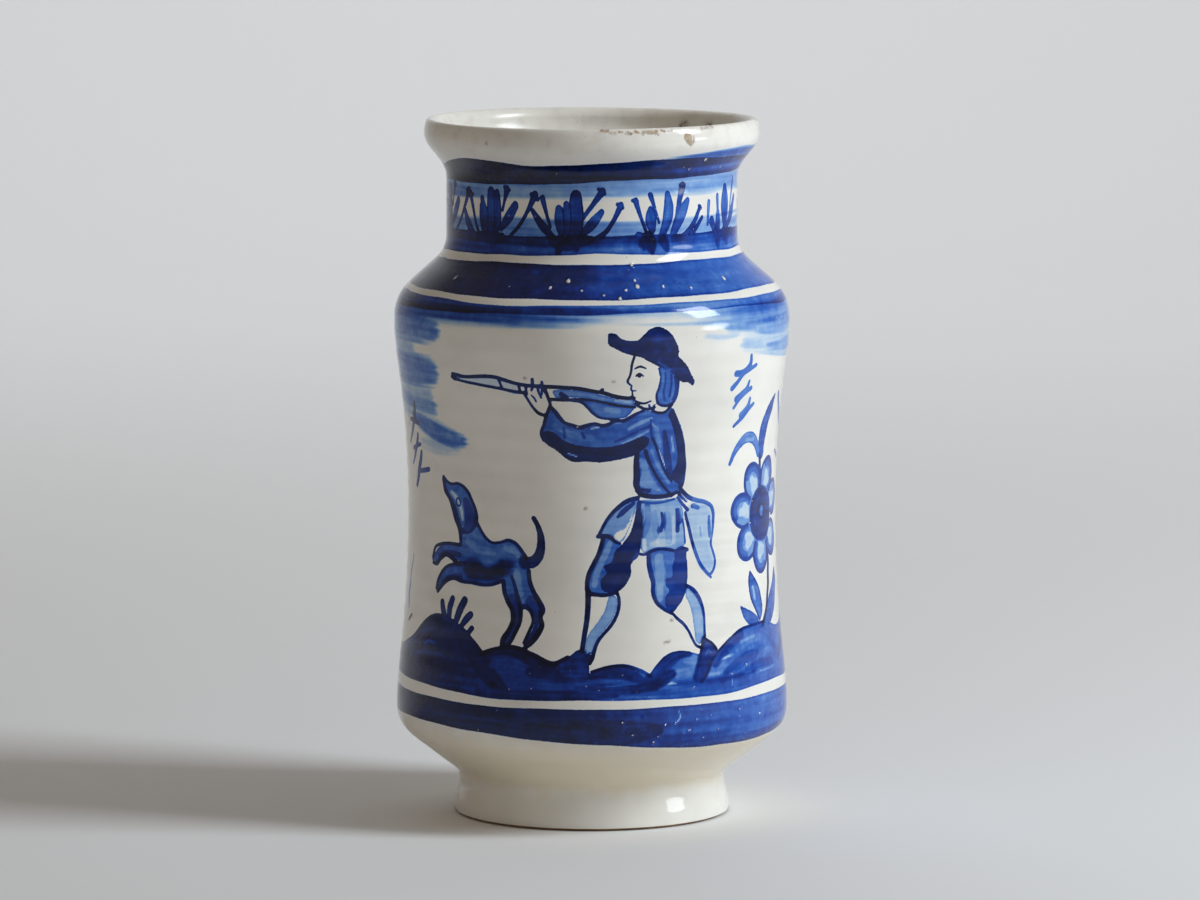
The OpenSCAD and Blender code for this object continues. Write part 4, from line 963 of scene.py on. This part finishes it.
class Wire:
    # one socket of a node tree; sums on it add Math nodes to that tree
    def __init__(self, tree, socket=None):
        self.tree = tree
        self.socket = socket

    def add(self, kind, settings, sockets, out=0):
        # any other node: its type, its settings, then the values or wires of its sockets
        node = self.tree.nodes.new(kind)
        for key, value in settings.items():
            if key == "stops":
                self.stops(node.color_ramp, value)
            else:
                setattr(node, key, value)
        setSockets(node, sockets)
        return Wire(self.tree, node.outputs[out])

    def stops(self, ramp, stops):
        while len(ramp.elements) < len(stops):
            ramp.elements.new(1)
        for element, (place, colour) in zip(ramp.elements, stops):
            element.position = place
            element.color = (*colour, 1)

    def maths(self, operation, *values):
        return self.add("ShaderNodeMath", {"operation": operation}, dict(enumerate(values)))

    def __add__(self, other):
        return self.maths("ADD", self, other)

    def __sub__(self, other):
        return self.maths("SUBTRACT", self, other)

    def __rsub__(self, other):
        return self.maths("SUBTRACT", other, self)

    def __mul__(self, other):
        return self.maths("MULTIPLY", self, other)

    def __truediv__(self, other):
        return self.maths("DIVIDE", self, other)

    __radd__ = __add__
    __rmul__ = __mul__

    def step(self, low, high):
        # 0 at low, 1 at high, eased between
        span = {"Value": self, "From Min": low, "From Max": high}
        return self.add("ShaderNodeMapRange", {"interpolation_type": "SMOOTHSTEP"}, span)

    def mix(self, first, second):
        # this wire as the share of the second colour in the first
        colours = {"Factor": self, 6: first, 7: second}
        return self.add("ShaderNodeMix", {"data_type": "RGBA"}, colours, 2)

    def noise(self, where, scale, detail=2.0):
        return self.add("ShaderNodeTexNoise", {}, {"Vector": where, "Scale": scale, "Detail": detail})

    def cells(self, where, scale):
        return self.add("ShaderNodeTexVoronoi", {}, {"Vector": where, "Scale": scale})

    def bump(self, height, distance):
        return self.add("ShaderNodeBump", {}, {"Height": height, "Distance": distance, "Strength": 1.0})

    def attribute(self, name):
        return self.add("ShaderNodeAttribute", {"attribute_name": name}, {}, 2)

    def places(self):
        return self.add("ShaderNodeTexCoord", {}, {}, 3)


def setSockets(node, sockets):
    # a wire is linked to its socket, and a plain value is set on it
    for key, value in sockets.items():
        if isinstance(value, Wire):
            value.tree.links.new(value.socket, node.inputs[key])
        else:
            node.inputs[key].default_value = value


def newMaterial(name):
    material = bpy.data.materials.new(name)
    material.use_nodes = True
    return material, material.node_tree.nodes["Principled BSDF"]


# the cream colour and its two heights paint warm bounce light onto the cone above the foot
glaze = {
    "white": (0.86, 0.84, 0.785, 1), "grey": (0.78, 0.765, 0.72, 1), "paintedWarmBounce": (0.80, 0.70, 0.50, 1),
    "rust": (0.16, 0.085, 0.04, 1), "chip": (0.5, 0.41, 0.32, 1), "chipDark": (0.34, 0.2, 0.1, 1),
    "roughness": 0.06, "wave": 0.00035, "ior": 1.52, "specular": 0.36,
    "paintedBounceTop": (0.037, 0.026), "paintedBounceFoot": (0.0095, 0.0165), "grimeFrom": (0.2285, 0.2345),  # m up the jar
}
# cells to the metre of each pattern in the glaze
patterns = {"ragged": 900, "fine": 2600, "cloudy": 170, "watery": 420, "streak": (28, 28, 820), "ground": 45,
            "grime": 210, "pinhole": 150, "rare": 60, "crumb": 340, "crumbed": 26, "wave": 70}
cobaltTones = [(0.0, (0.72, 0.77, 0.80)), (0.08, (0.46, 0.60, 0.76)), (0.15, (0.20, 0.37, 0.69)),
               (0.275, (0.042, 0.15, 0.53)), (0.375, (0.012, 0.078, 0.41)), (0.5, (0.005, 0.036, 0.27)),
               (0.675, (0.003, 0.015, 0.115)), (1.0, (0.002, 0.005, 0.03))]
fullTone = 2  # the tone at the dark end of cobaltTones


def paintedGlaze(name, streaks, dull=0.0):
    # tin glaze with the cobalt sunk in it: ragged brush edges, streaks along the ring, pinholes, wavy gloss
    material, shader = newMaterial(name)
    wire = Wire(material.node_tree)
    place = wire.places()
    ragged = wire.noise(place, patterns["ragged"])
    fine = wire.noise(place, patterns["fine"])
    cloudy = wire.noise(place, patterns["cloudy"], 4)
    watery = wire.noise(place, patterns["watery"])
    stretched = wire.add("ShaderNodeMapping", {}, {"Vector": place, "Scale": patterns["streak"]})
    streak = wire.noise(stretched, 1, 3)
    stain, bubble = wire.attribute("stain"), wire.attribute("bubble")
    # how dense the cobalt is
    rough = 0.24 * (ragged - 0.5) + 0.14 * (fine - 0.5)
    depth = wire.attribute("fill") + rough
    fill = depth.step(-0.16, 0.16)
    pooled = 1.22 - 0.32 * depth.step(0.1, 0.9)
    line = (wire.attribute("line") + 0.6 * rough).step(-0.12, 0.12)
    covered = wire.maths("MAXIMUM", fill, line)  # a line takes the paint beside it to its own edge
    uneven = 1 + 0.7 * (cloudy - 0.5) + 0.45 * (watery - 0.5) + streaks * (streak - 0.5)
    density = wire.attribute("wash") * (uneven + 0.5 * (streak - 0.5))
    density = density + wire.attribute("fillTone") * covered * uneven * pooled
    density = density + wire.attribute("lineTone") * line * (1 + 0.3 * (cloudy - 0.5))
    paint = wire.add("ShaderNodeValToRGB", {"stops": cobaltTones}, {"Fac": density / fullTone})
    # the white ground: greyer in patches, painted warm bounce light in cream over the cone above the foot,
    # and a little grime on the lip
    ground = wire.noise(place, patterns["ground"], 3).step(0.35, 0.75).mix(glaze["white"], glaze["grey"])
    height = wire.add("ShaderNodeSeparateXYZ", {}, {"Vector": place}, 2)
    level = height + 0.008 * (cloudy - 0.5)
    # painted warm bounce light: cream over the cone, fading out above it and in the top of the foot
    paintedWarmBounce = level.step(*glaze["paintedBounceTop"]) * level.step(*glaze["paintedBounceFoot"])
    ground = (0.75 * paintedWarmBounce).mix(ground, glaze["paintedWarmBounce"])
    grime = wire.noise(place, patterns["grime"], 5).step(0.44, 0.7) * height.step(*glaze["grimeFrom"])
    ground = (0.2 * grime).mix(ground, glaze["chip"])
    colour = density.step(0.0, 0.14).mix(ground, paint)
    # pinholes, white crumbs in the cobalt, white bubbles that are partly painted glints, stains and bare
    # clay
    pinhole = 1 - wire.cells(place, patterns["pinhole"]).step(0.03, 0.06)
    pinhole = pinhole * wire.noise(place, patterns["rare"], 0).step(0.56, 0.62)
    colour = (0.55 * pinhole).mix(colour, glaze["grey"])
    crumb = 1 - wire.cells(place, patterns["crumb"]).step(0.05, 0.11)
    crumb = crumb * wire.noise(place, patterns["crumbed"], 1).step(0.5, 0.66) * fill
    colour = (0.4 * crumb).mix(colour, glaze["white"])
    # white bubble spots: partly the glaze's own, partly painted glints
    colour = (0.85 * (bubble + 0.9 * (ragged - 0.5)).step(0.45, 0.8)).mix(colour, glaze["white"])
    colour = (stain * (0.35 + 0.5 * ragged.step(0.35, 0.6))).mix(colour, glaze["rust"])
    bare = (wire.attribute("bare") + 1.1 * (ragged - 0.5)).step(0.35, 0.7)
    bareClay = (0.45 * ragged.step(0.45, 0.6)).mix(glaze["chip"], glaze["chipDark"])
    relief = 0.4 * wire.noise(place, patterns["wave"]) + 0.04 * cloudy + 0.03 * fill
    relief = relief + 1.2 * bubble - 0.5 * pinhole - 0.35 * stain + 0.4 * bare * fine
    gloss = glaze["roughness"] + dull + 0.06 * (cloudy - 0.3) + 0.04 * fill + 0.3 * stain + 0.6 * bare
    setSockets(shader, {"Base Color": bare.mix(colour, bareClay), "Roughness": gloss,
                        "Normal": wire.bump(relief, glaze["wave"]),
                        "IOR": glaze["ior"], "Specular IOR Level": glaze["specular"]})
    return material


clay = {"buff": (0.58, 0.38, 0.2, 1), "dark": (0.34, 0.2, 0.1, 1), "grog": (0.75, 0.6, 0.42, 1),
        "mottle": 120, "specks": 1400, "relief": 0.0003}


def firedClay(name):
    # buff earthenware: mottled, with grog specks
    material, shader = newMaterial(name)
    wire = Wire(material.node_tree)
    place = wire.places()
    mottle = wire.noise(place, clay["mottle"], 5)
    grog = wire.noise(place, clay["specks"], 1).step(0.62, 0.7)
    colour = mottle.step(0.3, 0.7).mix(clay["buff"], clay["dark"])
    setSockets(shader, {"Base Color": (0.5 * grog).mix(colour, clay["grog"]),
                        "Roughness": 0.8 + 0.15 * mottle,
                        "Normal": wire.bump(mottle + 0.4 * grog, clay["relief"])})
    return material


materials = {
    "tin_glaze": paintedGlaze("tinGlaze", 0.15),
    "dark_cobalt": paintedGlaze("darkCobaltBand", 0.5),
    "mid_cobalt": paintedGlaze("midCobaltBand", 0.3),
    "pale_cobalt": paintedGlaze("paleCobaltWash", 0.5),
    "lining": paintedGlaze("liningGlaze", 0.15, 0.16),
}
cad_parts["clay_body"].data.materials.clear()
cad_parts["clay_body"].data.materials.append(firedClay("firedClay"))
print("materials made")


def facingRings(name, way, lean=0.02, spacing=0.12):
    # (radius, height) in mm of the rings of a turned node whose faces look out (way 1) or in (way -1)
    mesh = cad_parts[name].data
    places = np.empty(len(mesh.vertices) * 3)
    mesh.vertices.foreach_get("co", places)
    places = 1000 * places.reshape(-1, 3)
    corners = np.empty(len(mesh.polygons) * 3, int)
    mesh.polygons.foreach_get("vertices", corners)
    corners = corners.reshape(-1, 3)
    normals = np.empty(len(mesh.polygons) * 3)
    mesh.polygons.foreach_get("normal", normals)
    middles = places[corners].mean(1)[:, :2]
    out = (normals.reshape(-1, 3)[:, :2] * middles).sum(1) / np.maximum(1e-6, np.hypot(*middles.T))
    used = places[np.unique(corners[way * out > lean])]
    rings = np.unique(np.round(np.c_[used[:, 2], np.hypot(used[:, 0], used[:, 1])], 2), axis=0)
    apart = np.r_[True, np.hypot(*np.diff(rings, axis=0).T) > spacing]
    return rings[apart][:, ::-1]


def setOff(section, distance):
    # the section moved sideways, to the left of its own way along
    along = wayAlong(section)
    return section + distance * np.c_[-along[:, 1], along[:, 0]]


def heights(node):
    # lowest and highest point of a node in mm
    return [1000 * corner.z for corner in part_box(node)]


skinStep = 0.1  # mm between the samples of a skin
levelRadii = {"floor": (0, 8), "under": (30, 8, 0)}  # mm, where the floor is flat near the axis
lipRoll = {"swell": 0.7, "height": 231.5, "reach": 4.5}  # mm: the lip's flank is fuller than a plain flare
glazeDepth = 1000 * (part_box("outer_glaze")[1].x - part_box("clay_body")[1].x)
outerSkin = setOff(curveThrough(facingRings("clay_body", 1), skinStep), -glazeDepth)
fromRoll = (outerSkin[:, 1] - lipRoll["height"]) / lipRoll["reach"]
outerSkin[:, 0] += lipRoll["swell"] * np.exp(-fromRoll ** 2)
floorHeight = heights("inner_glaze")[0] + glazeDepth
floorRings = [(r, floorHeight) for r in levelRadii["floor"]]
innerSkin = curveThrough(np.r_[floorRings, facingRings("inner_glaze", -1)], skinStep)
outerSkin = np.r_[outerSkin, innerSkin[-1:]]
underRings = [(r, heights("underside_glaze")[1]) for r in levelRadii["under"]]
underSkin = curveThrough(np.r_[facingRings("underside_glaze", 1), underRings], skinStep)
print("skins made: glaze", round(glazeDepth, 2), "mm, crest", outerSkin[-1])

dentDepth = 0.3  # mm that a chip goes into the coat
# mm: how far the jar is out of round at its top, its thrower's rings and the dips in its lip
thrown = {"height": 240, "oval": 0.16, "trefoil": 0.1, "ring": 0.05, "pitch": 7.4, "ringsFrom": (40, 70),
          "lip": 0.35, "lipFrom": 150}
columnsFront = np.arange(-grid["fineHalf"], grid["fineHalf"], grid["fine"])
backCount = int((fullTurn - 2 * grid["fineHalf"]) / grid["coarse"])
columnsBack = np.linspace(grid["fineHalf"], fullTurn - grid["fineHalf"], backCount, endpoint=False)
columns = np.r_[columnsFront, columnsBack]
columns = np.sort(np.where(columns >= halfTurn, columns - fullTurn, columns))


def handThrown(angle, section):
    # radius and height in mm at each angle: the section, a little out of round, with the thrower's rings
    r, z = section[:, :1], section[:, 1:]
    share = z / thrown["height"]
    high = smoothStep(thrown["lipFrom"], thrown["height"], z)
    rings = smoothStep(*thrown["ringsFrom"], z) * (1 - high)
    r = r + share * (thrown["oval"] * np.sin(2 * angle + 0.6) + thrown["trefoil"] * np.sin(3 * angle + 1.9))
    r = r + rings * thrown["ring"] * np.sin(2 * np.pi * z / thrown["pitch"] + angle)
    z = z + thrown["lip"] * high * (np.sin(2 * angle - 0.4) - 1) / 2
    return r, z


def quadsOf(index):
    # one face for each cell of a grid of vertex numbers
    corners = [index[:-1, :-1], index[:-1, 1:], index[1:, 1:], index[1:, :-1]]
    return np.stack(corners, -1).reshape(-1, 4).tolist()


def newObject(name, data):
    piece = bpy.data.objects.new(name, data)
    bpy.context.collection.objects.link(piece)
    return piece


def turnedShell(name, section, slot, node, layers, poles=False):
    # a section (radius, height and its way along) carried round the axis: it closes on itself, or with poles
    # its two ends come together on the axis. Normals come from the surface's own slopes, so that rings meet
    # without a line.
    angle = columns / flatRadius
    nudge = 0.05 * section[:, 2:]

    def surface(rows):
        r, z = handThrown(angle, rows)
        return np.stack([r * np.sin(angle), -r * np.cos(angle), z + 0 * angle], -1)

    points = surface(section[:, :2])
    up = surface(section[:, :2] + nudge) - surface(section[:, :2] - nudge)
    normals = np.cross(np.roll(points, -1, 1) - np.roll(points, 1, 1), up)
    normals = normals / np.linalg.norm(normals, axis=2, keepdims=True)
    points = points - dentDepth * layers["bare"][..., None] * normals
    index = np.arange(len(section) * len(columns)).reshape(len(section), -1)
    index = np.c_[index, index[:, :1]]
    if not poles:
        index = np.r_[index, index[:1]]
    faces = quadsOf(index)
    verts, normals = points.reshape(-1, 3), normals.reshape(-1, 3)
    if poles:
        ends = points[[0, -1]].mean(1) * (0, 0, 1)
        verts = np.r_[verts, ends]
        normals = np.r_[normals, normals[[0, -1]]]
        first, last = np.full(len(columns), len(verts) - 2), np.full(len(columns), len(verts) - 1)
        faces += np.stack([first, index[0, 1:], index[0, :-1]], -1).tolist()
        faces += np.stack([last, index[-1, :-1], index[-1, 1:]], -1).tolist()
    mesh = bpy.data.meshes.new(name)
    mesh.from_pydata(verts / 1000, [], faces)
    mesh.shade_smooth()
    mesh.normals_split_custom_set_from_vertices(normals)
    for key, values in layers.items():
        values = np.r_[values.ravel(), values[0, :1], values[-1, :1]][:len(verts)]
        mesh.attributes.new(key, "FLOAT", "POINT").data.foreach_set("value", values.astype(np.float32))
    mesh.materials.append(materials["lining" if poles else slot])
    piece = newObject(name, mesh)
    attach(piece, "root")
    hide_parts(node)
    print(name, len(mesh.polygons), "faces")


def rowsAt(skin, at):
    # rows of a skin at lengths along it: radius, height and the way along
    return np.stack([np.interp(at, lengthAlong(skin), v) for v in (*skin.T, *wayAlong(skin).T)], 1)


def backOf(face, distance):
    # the hidden side of a coat: fewer rows, set off from the face, running the other way
    count = min(24, max(4, len(face) // 3))
    back = face[np.unique(np.linspace(0, len(face) - 1, count).astype(int))][::-1]
    return np.c_[back[:, :2] + distance * np.c_[-back[:, 3], back[:, 2]], -back[:, 2:]]


def withBack(coat, rows):
    # the painted layers, with plain rows for the hidden side
    plain = plainCoat(rows, len(columns))
    return {key: np.concatenate([coat[key], plain[key]]) for key in layerNames}


def coatRing(name, low, high, slot="tin_glaze", node="outer_glaze"):
    # a ring of the outer coat between two heights
    start, end = np.interp((low, high), outerSkin[:, 1], lengthAlong(outerSkin))
    face = rowsAt(outerSkin, np.linspace(start, end, int((end - start) / grid["row"]) + 2))
    back = backOf(face, 0.5 * glazeDepth)
    layers = withBack(paintJar(columns, face[:, 1]), len(back))
    turnedShell(name, np.concatenate([face, back]), slot, node, layers)


# The rings from the foot up: the piece, its node, its slot and the white coats below it. A ring with none
# meets the ring before it. The wall's coat is in two pieces that meet at the waist.
bandZones = [
    ("baseBand", "base_band", "mid_cobalt", ["footCoat"]),
    ("groundBand", "ground_band", "dark_cobalt", ["baseLine"]),
    ("cornerBand", "corner_band", "mid_cobalt", ["wallLowerCoat", "wallUpperCoat"]),
    ("shoulderBand", "shoulder_band", "mid_cobalt", ["shoulderLine"]),
    ("neckBand", "neck_band", "dark_cobalt", ["collarCoat"]),
    ("neckLowerWash", "neck_lower_wash", "pale_cobalt", []),
    ("neckUpperWash", "neck_upper_wash", "pale_cobalt", ["neckCoat"]),
    ("lipBand", "lip_band", "dark_cobalt", []),
]
waist = {"height": 107, "reach": 20}  # mm
waistRows = np.abs(outerSkin[:, 1] - waist["height"]) < waist["reach"]
waistHeight = float(outerSkin[waistRows][:, 1].mean())
edge = heights("outer_glaze")[0] - glazeDepth
for bandName, node, slot, coats in bandZones:
    low, high = heights(node)
    stops = [edge, waistHeight, low] if len(coats) == 2 else [edge, low]
    for coatName, coatLow, coatHigh in zip(coats, stops, stops[1:]):
        coatRing(coatName, coatLow, coatHigh)
    coatRing(bandName, low if coats else edge, high, slot, node)
    edge = high
coatRing("lipCoat", edge, outerSkin[-1, 1])
print("outer coat painted")

lining = {"coarse": 3.0, "fine": 0.7, "fineDepth": 18.0, "hub": 0.5, "markStep": 0.35,
          "markEdge": (-0.6, 0.4)}  # mm
innerStains = [[(144.6, 235.6, 1.6), (147, 235, 2.2)], [(160, 235.2, 2.6), (161.6, 234.4, 3)],
               [(-150, 231, 0.7), (-149.6, 231, 0.7)], [(-176, 229, 0.7), (-175.6, 229, 0.7)],
               [(176, 230, 0.8), (176.5, 230, 0.8)]]


def paintLining(z, marks):
    # plain glaze with a few stains; heights here don't rise steadily, so each mark is worked out everywhere
    coat = plainCoat(len(z), len(columns))
    for points in marks:
        path = curveThrough(points, lining["markStep"])
        away = np.hypot(columns[None, :, None] - path[:, 0], z[:, None, None] - path[:, 1])
        inside = (path[:, 2] / 2 - away).max(2)
        coat["stain"] = np.maximum(coat["stain"], smoothStep(*lining["markEdge"], inside))
    return coat


def liningShell(name, skin, distance, node, marks):
    # a lining that ends on the axis: its seen face, with fine rows where it meets the outside, and its back
    length = lengthAlong(skin)[-1]
    rim = min(lining["fineDepth"], length)
    hub = np.arange(lining["hub"], length - rim, lining["coarse"])
    face = rowsAt(skin, np.r_[hub, np.linspace(length - rim, length, int(rim / lining["fine"]))])
    back = backOf(face, distance)
    # the last row of the back lies straight behind the first row of the face
    back[-1] = face[0] * (1, 1, -1, -1) + (0, back[-1, 1] - face[0, 1], 0, 0)
    layers = withBack(paintLining(face[:, 1], marks), len(back))
    turnedShell(name, np.concatenate([face, back]), "tin_glaze", node, layers, True)


liningShell("innerGlaze", innerSkin, -0.5 * glazeDepth, "inner_glaze", innerStains)
liningShell("undersideGlaze", underSkin, -0.5 * glazeDepth, "underside_glaze", [])
print("linings made")

stage = {"width": 12.0, "front": -6.0, "back": 3.0, "bend": 0.9, "height": 4.0,
         "bendSteps": 16, "acrossSteps": 5, "colour": (0.80, 0.81, 0.83, 1), "roughness": 0.9}


def paperSweep():
    # floor, quarter bend and back wall of one pale sheet: a profile carried along x
    s = stage
    turn = np.linspace(0, np.pi / 2, s["bendSteps"])
    bend = np.c_[s["back"] - s["bend"] + s["bend"] * np.sin(turn), s["bend"] * (1 - np.cos(turn))]
    profile = np.r_[[(s["front"], 0)], bend, [(s["back"], s["height"])]]
    across = np.linspace(-s["width"] / 2, s["width"] / 2, s["acrossSteps"])
    y, x = np.meshgrid(profile[:, 0], across, indexing="ij")
    z = np.repeat(profile[:, 1], len(across)).reshape(y.shape)
    mesh = bpy.data.meshes.new("paperSweep")
    quads = quadsOf(np.arange(y.size).reshape(y.shape))
    mesh.from_pydata(np.stack([x, y, z], -1).reshape(-1, 3), [], quads)
    mesh.shade_smooth()
    material, shader = newMaterial("palePaper")
    setSockets(shader, {"Base Color": s["colour"], "Roughness": s["roughness"]})
    mesh.materials.append(material)
    newObject("paperSweep", mesh)


paperSweep()

lamps = {
    "window": {"place": (1.34, -0.40, 1.05), "aim": (0, 0, 0.12), "shape": "RECTANGLE", "size": (0.5, 0.8),
               "watts": 21, "colour": (0.88, 0.95, 1.0)},
    "sill": {"place": (1.30, -0.33, 0.27), "aim": (0, 0, 0.02), "shape": "ELLIPSE", "size": (0.46, 0.24),
             "watts": 2.2, "colour": (0.88, 0.95, 1.0)},
    "backdrop": {"place": (0, 1.5, 2.0), "aim": (0, 3.0, 0.5), "shape": "RECTANGLE", "size": (2.4, 0.5),
                 "watts": 26, "colour": (0.93, 0.97, 1.0)},
}
roomLight = {"Color": (1.0, 0.85, 0.69, 1), "Strength": 0.22}


def softBox(name, lamp):
    light = bpy.data.lights.new(name, "AREA")
    light.shape = lamp["shape"]
    light.size, light.size_y = lamp["size"]
    light.energy = lamp["watts"]
    light.color = lamp["colour"]
    piece = newObject(name, light)
    piece.location = lamp["place"]
    piece.rotation_euler = (Vector(lamp["aim"]) - piece.location).to_track_quat("-Z", "Y").to_euler()


for lampName, lamp in lamps.items():
    softBox(lampName, lamp)
world = bpy.data.worlds.new("studio")
world.use_nodes = True
setSockets(world.node_tree.nodes["Background"], roomLight)
bpy.context.scene.world = world
bpy.context.scene.view_settings.view_transform = "Standard"

view = {"place": (0.00285, -2.448, 0.408), "tilt": 6.59, "lens": 214.5, "sensor": 36.0}
camera = newObject("camera", bpy.data.cameras.new("camera"))
camera.location = view["place"]
camera.rotation_euler = (radians(90 - view["tilt"]), 0, 0)
camera.data.lens = view["lens"]
camera.data.sensor_width = view["sensor"]
bpy.context.scene.camera = camera
print("stage, lamps and camera set")
